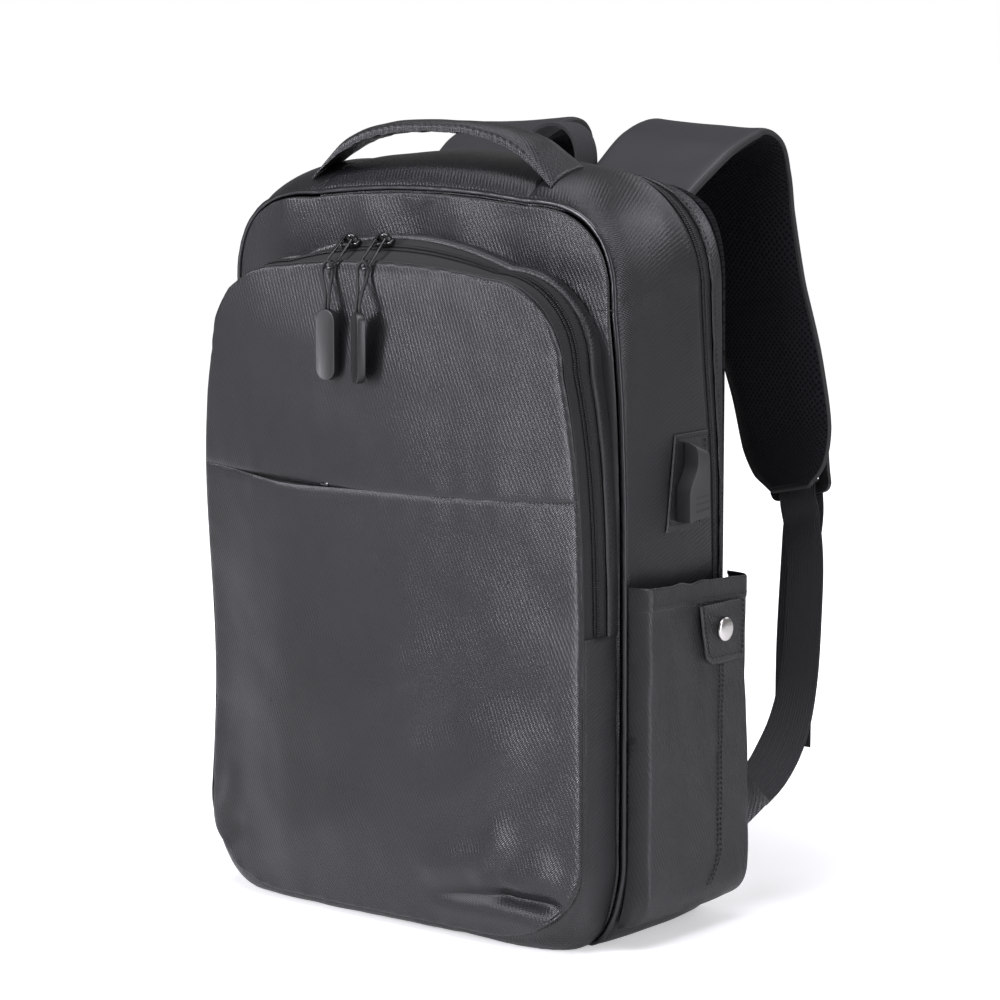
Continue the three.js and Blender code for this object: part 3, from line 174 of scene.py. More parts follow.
@lru_cache(maxsize=None)
def body_section_near(y):
    return section_at(BODY_SECTIONS, (y - FRONT_SEAM_Y) / BODY_DEPTH)


@lru_cache(maxsize=None)
def pocket_section_near(depth):
    return section_at(POCKET_SECTIONS, depth)


def body_section(y):
    return body_section_near(round(y, 2))


def pocket_section(depth):
    return pocket_section_near(round(depth, 4))


def right_outline(turn, section):
    """A point of the right half of an outline: turn 0 is the middle of the top, 5 the middle of the base."""
    if turn <= 1:
        return section["seam"] * turn, section["top"] + section["crown"] * (1 - turn * turn)
    start = section["top"] - section["drop"]
    base = section["low"] + section["rise"]
    if turn <= 2:
        angle = (2 - turn) * math.pi / 2
        across = max(math.cos(angle), 0) ** section["power"]
        up = max(math.sin(angle), 0) ** section["power"]
        return lerp(section["seam"], section["upper"], across), start + section["drop"] * up
    if turn <= 3:
        flare = (section["half"] - section["upper"]) * (3 - turn) ** 5
        return section["half"] - flare, lerp(start, base, turn - 2)
    if turn <= 4:
        angle = (turn - 3) * math.pi / 2
        return section["half"] - section["run"] * (1 - math.cos(angle)), base - section["rise"] * math.sin(angle)
    return (section["half"] - section["run"]) * (BASE_MIDDLE - turn), section["low"]


def outline_point(turn, section, outwards=0.0):
    """A point of the whole outline as (x, z), moved outwards by a distance. Left turns are negative."""
    size, step = abs(turn), 0.01
    x, z = right_outline(size, section)
    if outwards:
        before = right_outline(max(size - step, 0), section)
        after = right_outline(min(size + step, BASE_MIDDLE), section)
        along = Vector((after[0] - before[0], after[1] - before[1])).normalized()
        x, z = x - along.y * outwards, z + along.x * outwards
    return (-x if turn < 0 else x), z


def side_turn(z, section):
    top = section["top"] - section["drop"]
    return 2 + (top - z) / (top - section["low"] - section["rise"])


def zip_front(turn):
    return BACK_SEAM_Y - MAIN_ZIP_FROM_BACK * (1 - read_table(ZIP_DRIFT, "turn", "shift", abs(turn)))


def zip_back(turn):
    return min(zip_front(turn) + MAIN_ZIP_WIDTH, GUSSET_BACK_Y - 2 * WALL)


def ruler(first, last, section, steps=400):
    """A function from 0 to 1 that goes round the outline at an even speed, and the length of the way."""
    turns = [lerp(first, last, i / steps) for i in range(steps + 1)]
    points = [Vector(outline_point(turn, section)) for turn in turns]
    lengths = [0.0]
    for a, b in zip(points, points[1:]):
        lengths.append(lengths[-1] + (b - a).length)
    total = lengths[-1]

    def turn_at(share):
        goal, low, high = share * total, 0, steps
        while high - low > 1:
            middle = (low + high) // 2
            if lengths[middle] <= goal:
                low = middle
            else:
                high = middle
        return lerp(turns[low], turns[high], (goal - lengths[low]) / max(lengths[high] - lengths[low], 1e-9))

    return turn_at, total


print("round the front seam:", round(ruler(-5, 5, body_section(FRONT_SEAM_Y))[1]), "mm")

# %% [markdown]
# ## Finishes
# Coated cloth shows three sizes of detail: the diagonal emboss of a twill, a fine grain in the coating, and slow
# changes of colour. Its edges are lighter, partly from wear where hands rub them and partly as a painted
# highlight on the rolled edges. Each effect is a small node group with named sockets, so leather, tape and
# webbing share them. Patterns that follow the cloth read the piece's own UV map, which is laid in real
# metres, and slow stains read the object's place.

# %% Node helpers
def add_node(tree, kind, **settings):
    node = tree.nodes.new(kind)
    for key, value in settings.items():
        setattr(node, key, value)
    return node


def feed(tree, socket, value):
    """A socket takes a link, a number or a colour."""
    if isinstance(value, bpy.types.NodeSocket):
        tree.links.new(value, socket)
    else:
        socket.default_value = value


def sum_up(tree, operation, *values):
    node = add_node(tree, "ShaderNodeMath", operation=operation)
    for socket, value in zip(node.inputs, values):
        feed(tree, socket, value)
    return node.outputs[0]


def spread_out(tree, value, low, high):
    """A value from 0 to 1 turned into one from low to high."""
    node = add_node(tree, "ShaderNodeMapRange")
    for socket, number in zip(node.inputs, (value, 0.0, 1.0, low, high)):
        feed(tree, socket, number)
    return node.outputs[0]


def mix_colours(tree, mask, first, second):
    node = add_node(tree, "ShaderNodeMix", data_type="RGBA")
    for socket, value in zip((node.inputs[0], node.inputs[6], node.inputs[7]), (mask, first, second)):
        feed(tree, socket, value)
    return node.outputs[2]


def noise_at(tree, vector, scale, detail=3.0, roughness=0.5):
    node = add_node(tree, "ShaderNodeTexNoise")
    feed(tree, node.inputs["Vector"], vector)
    for name, value in (("Scale", scale), ("Detail", detail), ("Roughness", roughness)):
        feed(tree, node.inputs[name], value)
    return node.outputs["Fac"]


def new_group(name, inputs, outputs):
    """A shader group with named sockets: the tree, its inputs and the node that takes its results."""
    tree = bpy.data.node_groups.new(name, "ShaderNodeTree")
    for label, kind, value in inputs:
        socket = tree.interface.new_socket(label, in_out="INPUT", socket_type=kind)
        if value is not None:
            socket.default_value = value
    for label in outputs:
        tree.interface.new_socket(label, in_out="OUTPUT", socket_type="NodeSocketFloat")
    return tree, tree.nodes.new("NodeGroupInput").outputs, tree.nodes.new("NodeGroupOutput").inputs


def use_group(tree, group, **values):
    node = add_node(tree, "ShaderNodeGroup", node_tree=group)
    for key, value in values.items():
        feed(tree, node.inputs[key.replace("_", " ")], value)
    return node.outputs


# %% [markdown]
# ### The emboss, the grain and the lighter edges
# The emboss is a sine across slanted lines, broken along its length so that it reads as stitches of a twill. Grain
# is a cell pattern with noise over it. The lighter edges, partly wear and partly a painted highlight on the rolled
# edges, are stored on the mesh near each seam as a number, and the group only roughens their border.

# %% Shared effects
VECTOR, FLOAT = "NodeSocketVector", "NodeSocketFloat"
TURN = 2 * math.pi

twill, given, made = new_group(
    "embossed_twill", [("Cloth", VECTOR, None), ("Pitch", FLOAT, 0.0015), ("Slant", FLOAT, 1.0)], ["Height"])
split = add_node(twill, "ShaderNodeSeparateXYZ")
feed(twill, split.inputs[0], given["Cloth"])
across = sum_up(twill, "DIVIDE", split.outputs[0], given["Pitch"])
upward = sum_up(twill, "MULTIPLY", sum_up(twill, "DIVIDE", split.outputs[1], given["Pitch"]), given["Slant"])
lines = sum_up(twill, "ADD", across, upward)
dashes = sum_up(twill, "SUBTRACT", across, upward)
ridge = sum_up(twill, "SINE", sum_up(twill, "MULTIPLY", lines, TURN))
stagger = sum_up(twill, "MULTIPLY", sum_up(twill, "FLOOR", lines), 0.37)
broken = sum_up(twill, "SINE", sum_up(twill, "MULTIPLY", sum_up(twill, "ADD", dashes, stagger), TURN * 0.42))
height = sum_up(twill, "MULTIPLY_ADD", ridge, 0.32, 0.5)
feed(twill, made["Height"], sum_up(twill, "MULTIPLY_ADD", broken, 0.16, height))

grain, given, made = new_group(
    "coated_grain", [("Place", VECTOR, None), ("Size", FLOAT, 900.0)], ["Height", "Cloud"])
cells = add_node(grain, "ShaderNodeTexVoronoi", feature="SMOOTH_F1")
feed(grain, cells.inputs["Vector"], given["Place"])
feed(grain, cells.inputs["Scale"], given["Size"])
fine = noise_at(grain, given["Place"], 2600.0, 4.0, 0.6)
feed(grain, made["Height"], sum_up(grain, "MULTIPLY_ADD", fine, 0.5, cells.outputs["Distance"]))
feed(grain, made["Cloud"], noise_at(grain, given["Place"], 9.0, 4.0, 0.55))

# The lighter edges are partly wear and partly a painted highlight on the rolled edges.
wear_and_highlight, given, made = new_group(
    "wear_and_highlight_edge", [("Edge", FLOAT, 0.0), ("Place", VECTOR, None)], ["Mask"])
ragged = noise_at(wear_and_highlight, given["Place"], 160.0, 4.0, 0.6)
feed(wear_and_highlight, made["Mask"], sum_up(wear_and_highlight, "MULTIPLY", given["Edge"], spread_out(wear_and_highlight, ragged, 0.2, 1.25)))

ribs, given, made = new_group(
    "woven_ribs", [("Cloth", VECTOR, None), ("Pitch", FLOAT, 0.0012), ("Weft", FLOAT, 0.0008)], ["Height"])
split = add_node(ribs, "ShaderNodeSeparateXYZ")
feed(ribs, split.inputs[0], given["Cloth"])
warp = sum_up(ribs, "DIVIDE", split.outputs[0], given["Pitch"])
weft = sum_up(ribs, "DIVIDE", split.outputs[1], given["Weft"])
zigzag = sum_up(ribs, "PINGPONG", warp, 1.0)
chevron = sum_up(ribs, "SINE", sum_up(ribs, "MULTIPLY", sum_up(ribs, "ADD", weft, zigzag), TURN))
rounded = sum_up(ribs, "SINE", sum_up(ribs, "MULTIPLY", warp, TURN / 2))
feed(ribs, made["Height"], sum_up(
    ribs, "MULTIPLY_ADD", chevron, 0.25, sum_up(ribs, "MULTIPLY", sum_up(ribs, "ABSOLUTE", rounded), 0.6)))
print("effects:", ", ".join(group.name for group in bpy.data.node_groups))


# %% [markdown]
# ### Materials
# Each material keeps its own Principled shader, with constant numbers on the shader's own sockets. Only what
# changes over the surface comes through nodes. Faux leather is a dark coat that is half matt, a little lighter
# at its edges, partly from wear and partly as a painted highlight.

# %% Material helpers
def new_material(name, **constants):
    material = bpy.data.materials.new(name)
    material.use_nodes = True
    tree = material.node_tree
    shader = next(node for node in tree.nodes if node.type == "BSDF_PRINCIPLED")
    for key, value in constants.items():
        shader.inputs[key.replace("_", " ")].default_value = value
    spots = add_node(tree, "ShaderNodeTexCoord")
    return material, tree, shader, spots.outputs["UV"], spots.outputs["Object"]


def emboss(tree, shader, height, depth, strength=1.0):
    bump = add_node(tree, "ShaderNodeBump")
    for name, value in (("Height", height), ("Distance", depth), ("Strength", strength)):
        feed(tree, bump.inputs[name], value)
    feed(tree, shader.inputs["Normal"], bump.outputs["Normal"])


def grey(value, warm=0.0):
    return (value * (1 + max(warm, 0)), value, value * (1 - warm), 1.0)


def coated_cloth(name, dark, light, rough, depth, pitch):
    """Faux leather: twill emboss under a grained coat, lighter at its edges from wear and a painted highlight."""
    material, tree, shader, cloth, place = new_material(name)
    raised = use_group(tree, twill, Cloth=cloth, Pitch=pitch, Slant=-1.0)["Height"]
    skin = use_group(tree, grain, Place=place)
    # Lighter edges: partly wear, partly a painted highlight on the rolled edges.
    edge = add_node(tree, "ShaderNodeAttribute", attribute_name="wear_and_highlight").outputs["Fac"]
    wear_and_highlight_mask = use_group(tree, wear_and_highlight, Edge=edge, Place=place)["Mask"]
    tint = sum_up(tree, "MULTIPLY_ADD", raised, 0.35, sum_up(tree, "MULTIPLY", skin["Cloud"], 0.65))
    colour = mix_colours(tree, tint, dark, light)
    feed(tree, shader.inputs["Base Color"], mix_colours(tree, wear_and_highlight_mask, colour, grey(light[1] * 1.7, -0.02)))
    uneven = sum_up(tree, "MULTIPLY_ADD", raised, -0.5, sum_up(tree, "MULTIPLY", skin["Cloud"], 1.2))
    feed(tree, shader.inputs["Roughness"], spread_out(tree, uneven, *rough))
    emboss(tree, shader, sum_up(tree, "MULTIPLY_ADD", skin["Height"], 0.25, raised), depth)
    return material


# %% Leather, tape, webbing and mesh
body_leather = coated_cloth(
    "coated_leather", grey(0.0045, -0.15), grey(0.0105, -0.15), (0.26, 0.4), 0.00024, 0.0014)
strap_leather = coated_cloth(
    "smooth_leather", grey(0.013, -0.12), grey(0.02, -0.12), (0.48, 0.62), 0.00003, 0.0011)


def woven_cloth(name, dark, light, rough, pitch, weft, depth):
    material, tree, shader, cloth, place = new_material(name)
    raised = use_group(tree, ribs, Cloth=cloth, Pitch=pitch, Weft=weft)["Height"]
    cloud = use_group(tree, grain, Place=place)["Cloud"]
    tint = sum_up(tree, "MULTIPLY_ADD", raised, 0.8, sum_up(tree, "MULTIPLY", cloud, 0.3))
    feed(tree, shader.inputs["Base Color"], mix_colours(tree, tint, dark, light))
    feed(tree, shader.inputs["Roughness"], spread_out(tree, cloud, *rough))
    emboss(tree, shader, raised, depth)
    return material


zip_cloth = woven_cloth("zip_tape", grey(0.004), grey(0.015), (0.75, 0.9), 0.0011, 0.0009, 0.00016)
webbing_cloth = woven_cloth(
    "webbing", grey(0.006, -0.1), grey(0.024, -0.12), (0.68, 0.85), 0.0016, 0.0012, 0.0003)
binding_cloth = woven_cloth("binding", grey(0.01), grey(0.028), (0.7, 0.82), 0.0008, 0.0007, 0.00012)


def knitted_mesh(name):
    """Spacer mesh: rows of small holes in a soft knitted face."""
    material, tree, shader, cloth, place = new_material(name, Specular_IOR_Level=0.12)
    holes = add_node(tree, "ShaderNodeTexVoronoi", feature="F1", distance="EUCLIDEAN")
    stretch = add_node(tree, "ShaderNodeMapping")
    feed(tree, stretch.inputs["Vector"], cloth)
    stretch.inputs["Rotation"].default_value = (0, 0, math.radians(30))
    stretch.inputs["Scale"].default_value = (1.0, 0.72, 1.0)
    feed(tree, holes.inputs["Vector"], stretch.outputs[0])
    feed(tree, holes.inputs["Scale"], 430.0)
    feed(tree, holes.inputs["Randomness"], 0.12)
    wall = add_node(tree, "ShaderNodeMapRange", interpolation_type="SMOOTHSTEP")
    for socket, value in zip(wall.inputs, (holes.outputs["Distance"], 0.22, 0.42, 0.0, 1.0)):
        feed(tree, socket, value)
    threads = use_group(tree, ribs, Cloth=cloth, Pitch=0.0007, Weft=0.0007)["Height"]
    face = sum_up(tree, "MULTIPLY", wall.outputs[0], sum_up(tree, "MULTIPLY_ADD", threads, 0.4, 0.6))
    feed(tree, shader.inputs["Base Color"], mix_colours(tree, face, grey(0.0008), grey(0.0075, -0.3)))
    feed(tree, shader.inputs["Roughness"], spread_out(tree, face, 0.95, 0.75))
    emboss(tree, shader, face, 0.0006)
    return material


mesh_cloth = knitted_mesh("spacer_mesh")
print("cloths:", ", ".join(material.name for material in bpy.data.materials))


# %% Plastic, rubber, metal and thread
def moulded(name, dark, light, rough, depth, grain_size=1500.0, **constants):
    material, tree, shader, _, place = new_material(name, **constants)
    skin = use_group(tree, grain, Place=place, Size=grain_size)
    # Lighter where the mesh marks an edge: partly wear, partly a painted highlight.
    edge = add_node(tree, "ShaderNodeAttribute", attribute_name="wear_and_highlight").outputs["Fac"]
    wear_and_highlight_mask = use_group(tree, wear_and_highlight, Edge=edge, Place=place)["Mask"]
    feed(tree, shader.inputs["Base Color"], mix_colours(
        tree, wear_and_highlight_mask, mix_colours(tree, skin["Cloud"], dark, light), grey(light[1] * 2)))
    feed(tree, shader.inputs["Roughness"], spread_out(tree, skin["Cloud"], *rough))
    emboss(tree, shader, skin["Height"], depth)
    return material


coil_nylon = moulded("coil_nylon", grey(0.006), grey(0.012), (0.3, 0.45), 0.00002)
black_plastic = moulded("hard_plastic", grey(0.007), grey(0.011), (0.38, 0.52), 0.00003)
tab_rubber = moulded("tab_rubber", grey(0.007), grey(0.012), (0.3, 0.45), 0.00004, 700.0)
port_rubber = moulded("hood_rubber", grey(0.017, -0.04), grey(0.025, -0.04), (0.45, 0.6), 0.00003)
black_metal = moulded("lacquered_metal", grey(0.012), grey(0.02), (0.14, 0.26), 0.00001, Metallic=0.6, Coat_Weight=0.5)
pale_metal = moulded("champagne_metal", grey(0.62, 0.04), grey(0.74, 0.04), (0.2, 0.34), 0.00001, Metallic=1.0)
black_thread = moulded("black_thread", grey(0.003), grey(0.007), (0.6, 0.75), 0.00002, 5000.0)
print("finishes:", len(bpy.data.materials))

# %% [markdown]
# ## A sheet of cloth
# Every leather panel starts as a flat grid. Its stops are crowded beside the seams, where the edge rolls over, and
# even in between. Bending the grid to a place function keeps its cells, so the UV map can be laid in real lengths
# before the wall gets its thickness. A lathe or a box could not give a panel that is different on all four sides.

# %% Grid helpers
def seam_stops(length, pitch=3.0, margin=4.0, rings=3):
    """Shares along one side of a panel: even in the middle and crowded near both seams."""
    inner = max(2, round((length - 2 * margin) / pitch))
    near = [margin * (i / rings) ** 1.3 / length for i in range(rings)]
    even = [lerp(margin, length - margin, i / inner) / length for i in range(inner + 1)]
    return near + even + [1 - share for share in reversed(near)]


def even_stops(cells):
    return [i / cells for i in range(cells + 1)]


def running_lengths(points):
    lengths = [0.0]
    for a, b in zip(points, points[1:]):
        lengths.append(lengths[-1] + (b - a).length)
    return lengths


def sewn_sheet(stops_u, stops_v, place, wall, flip=False, flat=None, wear_and_highlight_reach=1.2):
    """A bent grid with a UV map in metres, its lighter edges (wear and a painted highlight) as numbers, and a wall on
    its inner side.
    """
    bm = bmesh.new()
    cloth = bm.loops.layers.uv.new("cloth")
    wear_and_highlight_edge = bm.verts.layers.float.new("wear_and_highlight")
    bmesh.ops.create_grid(bm, x_segments=len(stops_u) - 1, y_segments=len(stops_v) - 1, size=0.5)
    width, height = len(stops_u), len(stops_v)
    verts = list(bm.verts)
    for index, vert in enumerate(verts):
        vert.co = Vector(place(stops_u[index % width], stops_v[index // width])) * MM
    across = running_lengths([verts[height // 2 * width + i].co for i in range(width)])
    along = running_lengths([verts[j * width + width // 2].co for j in range(height)])
    for face in bm.faces:
        for loop in face.loops:
            i, j = loop.vert.index % width, loop.vert.index // width
            loop[cloth].uv = flat(loop.vert.co) if flat else (across[i], along[j])
    # The number rises near every edge and lightens the colour there, as wear and as a painted highlight on the rolled
    # edge.
    for index, vert in enumerate(verts):
        i, j = index % width, index // width
        nearest = min(across[i], across[-1] - across[i], along[j], along[-1] - along[j])
        vert[wear_and_highlight_edge] = math.exp(-nearest / (wear_and_highlight_reach * MM))
    if flip:
        bmesh.ops.reverse_faces(bm, faces=bm.faces[:])
    if wall:
        bmesh.ops.solidify(bm, geom=bm.faces[:], thickness=wall * MM)
    return bm


TABLE_GIVE = 0.02


def finish_piece(name, bm, material, nodes=(), sharp=40):
    """The bmesh becomes an object at the origin that rides on the bag and stands for its solids."""
    for vert in bm.verts:
        if vert.co.z < 0:
            vert.co.z *= TABLE_GIVE
    mesh = bpy.data.meshes.new(name)
    bm.to_mesh(mesh)
    bm.free()
    mesh.materials.append(material)
    mesh.shade_smooth()
    mesh.set_sharp_from_angle(angle=math.radians(sharp))
    piece = bpy.data.objects.new(name, mesh)
    bpy.context.scene.collection.objects.link(piece)
    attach(piece, "root")
    if nodes:
        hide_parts(*nodes)
    print(f"{name}: {len(mesh.polygons)} faces")
    return piece


# %% [markdown]
# ## Folds and cockles
# Soft cloth never lies quite flat. Long folds are kept in a table, where x and z are shares of the bag's half
# width and height, lean is in degrees from upright, and a height below zero is a crease. Smaller cockles come from
# smooth noise, which always gives the same numbers, and puckers are noise that dies away from a seam.

# %% Folds of the front
POCKET_FOLDS = named_rows("x z lean length width height", [
    (0.3, 0.37, 63, 0.1, 11, 1.7),
    (0.46, 0.31, 62, 0.1, 9, -1.5),
    (0.56, 0.245, 54, 0.09, 11, 2.2),
    (0.68, 0.2, 48, 0.08, 9, -1.6),
    (0.58, 0.125, 28, 0.045, 8, 3.4),
    (0.4, 0.105, 74, 0.05, 8, 2.6),
    (0.76, 0.105, 62, 0.04, 9, 3.0),
    (0.74, 0.071, 92, 0.052, 5, -8.0),
    (0.44, 0.066, 84, 0.05, 5, -3.6),
    (0.6, 0.046, 90, 0.1, 7, 2.6),
    (-0.3, 0.12, 60, 0.12, 16, 2.0),
    (-0.88, 0.12, 24, 0.05, 9, 3.4),
    (-0.84, 0.075, 40, 0.04, 7, -2.6),
])
PANEL_FOLDS = named_rows("x z lean length width height", [
    (-0.62, 0.94, 26, 0.06, 14, 2.2),
    (-0.2, 0.94, 22, 0.06, 12, 2.0),
    (0.02, 0.94, 20, 0.06, 12, -1.6),
    (0.26, 0.94, 18, 0.06, 12, 2.0),
    (0.46, 0.92, 24, 0.06, 12, -1.8),
    (0.7, 0.88, 30, 0.06, 14, 2.2),
])


def fold_height(folds, x, z):
    height = 0.0
    for fold in folds:
        lean = math.radians(fold["lean"])
        dx, dz = x - fold["x"] * BODY_HALF_WIDTH, z - fold["z"] * BODY_HEIGHT
        along = (dx * math.sin(lean) + dz * math.cos(lean)) / (fold["length"] * BODY_HEIGHT)
        across = (dx * math.cos(lean) - dz * math.sin(lean)) / fold["width"]
        if abs(along) < 2 and abs(across) < 4:
            height += fold["height"] * math.exp(-(across**2) - along**4)
    return height


def cockle(a, b, size, height, seed=0.0):
    return height * noise.noise(Vector((a / size, b / size, seed)))


def pucker(distance, along, pitch, height, reach, seed=0.0):
    return height * noise.noise(Vector((along / pitch, distance / (3 * pitch), seed))) * math.exp(-((distance / reach) ** 2))


def roll(distance, radius, depth):
    """How far an edge turns in beside its seam."""
    return depth * (1 - quarter_round(distance / radius))


# %% Faces of the front
def panel_crown(x, z):
    across, up = clamp(x / BODY_HALF_WIDTH, -1, 1), clamp(2 * z / BODY_HEIGHT - 1, -1, 1)
    return PIPING_RADIUS * 3 * (1 - across**4) * (1 - up**6)


def panel_front(x, z):
    edge = smoothstep(z, 0.84 * BODY_HEIGHT, 0.9 * BODY_HEIGHT)
    rim = 1 - smoothstep(z, 0.93 * BODY_HEIGHT, 0.975 * BODY_HEIGHT)
    return PANEL_RIM_Y - panel_crown(x, z) - edge * rim * fold_height(PANEL_FOLDS, x, z)


def rim_y(x, z):
    left = smoothstep(-x, 0.4 * BODY_HALF_WIDTH, 0.98 * BODY_HALF_WIDTH)
    height = (z - 0.3 * BODY_HEIGHT) / (0.28 * BODY_HEIGHT)
    return POCKET_RIM_Y + POCKET_SAG * left * math.exp(-height * height)


def pocket_front(x, z):
    rim = pocket_section(0)
    middle, half = (rim["top"] + rim["low"]) / 2, (rim["top"] - rim["low"]) / 2
    across, up = clamp(x / rim["half"], -1, 1), clamp((z - middle) / half, -1, 1)
    dome = (1 - across**2) * (1 - up**4)
    loose = (1 - across**12) * (1 - up**16)
    return rim_y(x, z) - POCKET_CROWN * dome - loose * fold_height(POCKET_FOLDS, x, z)


# %% Panels inside a frame of four edges
def outline_edges(section, inset, floor):
    def around(turn):
        x, z = outline_point(turn, section, -inset)
        return x, max(z, floor)

    def low(u):
        turn = lerp(-1.5, 1.5, u)
        return around((-1 if turn < 0 else 1) * (BASE_MIDDLE - abs(turn)))

    return {
        "low": low,
        "high": lambda u: around(lerp(-1.5, 1.5, u)),
        "left": lambda v: around(-lerp(3.5, 1.5, v)),
        "right": lambda v: around(lerp(3.5, 1.5, v)),
    }


def inside_edges(edges, u, v):
    """A point of a patch that is blended between its four edges."""
    low, high, left, right = edges["low"](u), edges["high"](u), edges["left"](v), edges["right"](v)
    corners = edges["low"](0), edges["low"](1), edges["high"](0), edges["high"](1)
    return tuple(
        lerp(low[k], high[k], v) + lerp(left[k], right[k], u)
        - lerp(lerp(corners[0][k], corners[1][k], u), lerp(corners[2][k], corners[3][k], u), v)
        for k in (0, 1)
    )


def front_cloth(co):
    return co.x, co.z


# %% [markdown]
# ## Main front panel
# This panel carries the front pocket, so only its top shows. Two level seams run from the pocket's shoulders to
# the piping, and above the pocket soft upright folds catch the light. The rim rolls in behind the piping.

# %% Main front panel
LEVEL_SEAM_Z, LEVEL_SEAM_START = 361, 100


def main_panel_place(u, v):
    x, z = inside_edges(main_edges, u, v)
    side, top = min(u, 1 - u) * 280, min(v, 1 - v) * 400
    seam = smoothstep(abs(x), LEVEL_SEAM_START, LEVEL_SEAM_START + 6) * math.exp(-(((z - LEVEL_SEAM_Z) / 1.1) ** 2))
    lap = smoothstep(abs(x), LEVEL_SEAM_START, LEVEL_SEAM_START + 6) * 0.5 * smoothstep(z, LEVEL_SEAM_Z, LEVEL_SEAM_Z + 2)
    turned = roll(min(side, top), 4, 1.5)
    return x, panel_front(x, z) + turned + 0.9 * seam + lap + cockle(x, z, 26, 0.7) + pucker(top, x, 9, 0.5, 9), z


main_edges = outline_edges(body_section(FRONT_SEAM_Y), PIPING_RADIUS + 3 * GAP, 2 * PIPING_RADIUS + 3 * GAP)
main_front = finish_piece(
    "front_panel",
    sewn_sheet(seam_stops(296), seam_stops(420), main_panel_place, WALL, flat=front_cloth),
    body_leather, ["main_front_panel"])

# %% [markdown]
# ## Top, sides and base
# The wall between the two outlines is a belt of strips: a top panel, side gussets down to the zip's ends, lower
# sides, and a narrow belt behind the zip. One function bends them all. The edge at the front seam rolls over a
# wide radius, and that rounded welt is what catches the light on the real bag.

# %% Belt of the body
def belt_panel(name, node, first, last, front_at, back_at, front_roll=(6, 2.2), back_roll=(3, 1.0), waves=0.8):
    turn_at, length = ruler(first, last, body_section((front_at(first) + back_at(first)) / 2))
    depth = back_at((first + last) / 2) - front_at((first + last) / 2)

    def place(u, v):
        turn = turn_at(u)
        y = lerp(front_at(turn), back_at(turn), v)
        before, behind, end = v * depth, (1 - v) * depth, min(u, 1 - u) * length
        turned = max(roll(before, *front_roll), roll(behind, *back_roll), roll(end, 3, 0.9))
        middle = 1 - math.exp(-((min(before, behind, end) / 9) ** 2))
        soft = cockle(u * length, y, 34, waves, 3.1) * middle + pucker(before, u * length, 8, 0.6, 9, 1.7)
        x, z = outline_point(turn, body_section(y), soft - turned)
        return x, y, max(z, 0)

    bm = sewn_sheet(seam_stops(length), seam_stops(depth), place, WALL, flip=last < first)
    return finish_piece(name, bm, body_leather, [node])


def front_edge(turn):
    return GUSSET_FRONT_Y


def back_edge(turn):
    return GUSSET_BACK_Y


SEAM_TURN = 1 - 0.004
ZIP_STOP = MAIN_ZIP_END - 0.0015
belt_panel("top_gusset", "top_panel", -SEAM_TURN, SEAM_TURN, front_edge, zip_front)
belt_panel("rear_belt", "rear_gusset", -ZIP_STOP, ZIP_STOP, zip_back, back_edge, (3, 1.0), (4, 1.2), 0.2)
for hand, sign in (("right", 1), ("left", -1)):
    belt_panel(f"gusset_{hand}", f"side_gusset_{hand}", sign * 1.0, sign * ZIP_STOP, front_edge, zip_front)
    belt_panel(f"lower_side_{hand}", f"side_lower_{hand}", sign * MAIN_ZIP_END, sign * 4.0, front_edge, back_edge)


def base_place(u, v):
    y = lerp(GUSSET_FRONT_Y, GUSSET_BACK_Y, v)
    edge = right_outline(4.004, body_section(y))[0]
    return lerp(-edge, edge, u), y, 0


finish_piece(
    "base", sewn_sheet(seam_stops(238, 6), seam_stops(100, 6), base_place, WALL, flip=True),
    body_leather, ["base_panel"])

# %% [markdown]
# ## Front pocket
# The pocket's face is two domed panels that meet at a hidden zip. The lower panel sags a little and gapes on the
# left, so a dark mouth shows there. Its wall is a belt like the body's, between the rim and the main panel.

# %% Faces of the pocket
RIM = pocket_section(0)
GAPE_X, GAPE_REACH, GAPE = -62, 36, 3.0


def gape(x):
    return GAPE * math.exp(-(((x - GAPE_X) / GAPE_REACH) ** 2))


def slit_line(side):
    turn = side_turn(SLIT_HEIGHT + side * SLIT_OPENING / 2, RIM)
    edge, height = outline_point(turn, RIM)

    def at(u):
        x = lerp(-edge, edge, u)
        return x, height - 2 * WALL * (1 - (x / edge) ** 2)

    return at, turn


def pocket_edges(lower):
    around = outline_edges(RIM, 0, 0)
    line, turn = slit_line(-1 if lower else 1)
    first, last = (3.5, turn) if lower else (turn, 1.5)
    sides = {
        "left": lambda v: outline_point(-lerp(first, last, v), RIM),
        "right": lambda v: outline_point(lerp(first, last, v), RIM),
    }
    return {"low": around["low"], "high": line, **sides} if lower else {"low": line, "high": around["high"], **sides}


def pocket_face(edges, lower, height):
    def place(u, v):
        x, z = inside_edges(edges, u, v)
        side, end = min(u, 1 - u) * 292, (v if lower else 1 - v) * height
        to_slit = (1 - v if lower else v) * height
        lip = gape(x) * math.exp(-((to_slit / 22) ** 2))
        turned = max(roll(side, 5, 2.2), roll(end, 5, 2.2), roll(to_slit, 2.2, 1.1))
        soft = cockle(x, z, 38, 1.1, 5.0) + cockle(x, z, 15, 0.25, 9.0)
        puckers = pucker(side, z, 8, 0.7, 10, 2.0) + pucker(end, x, 8, 0.7, 10, 4.0) + pucker(to_slit, x, 11, 0.5, 9, 6.0)
        forward = lip * (0.9 if lower else -0.25)
        return x, pocket_front(x, z) + turned - soft - puckers - forward, z - (0.55 * lip if lower else -0.2 * lip)

    return place


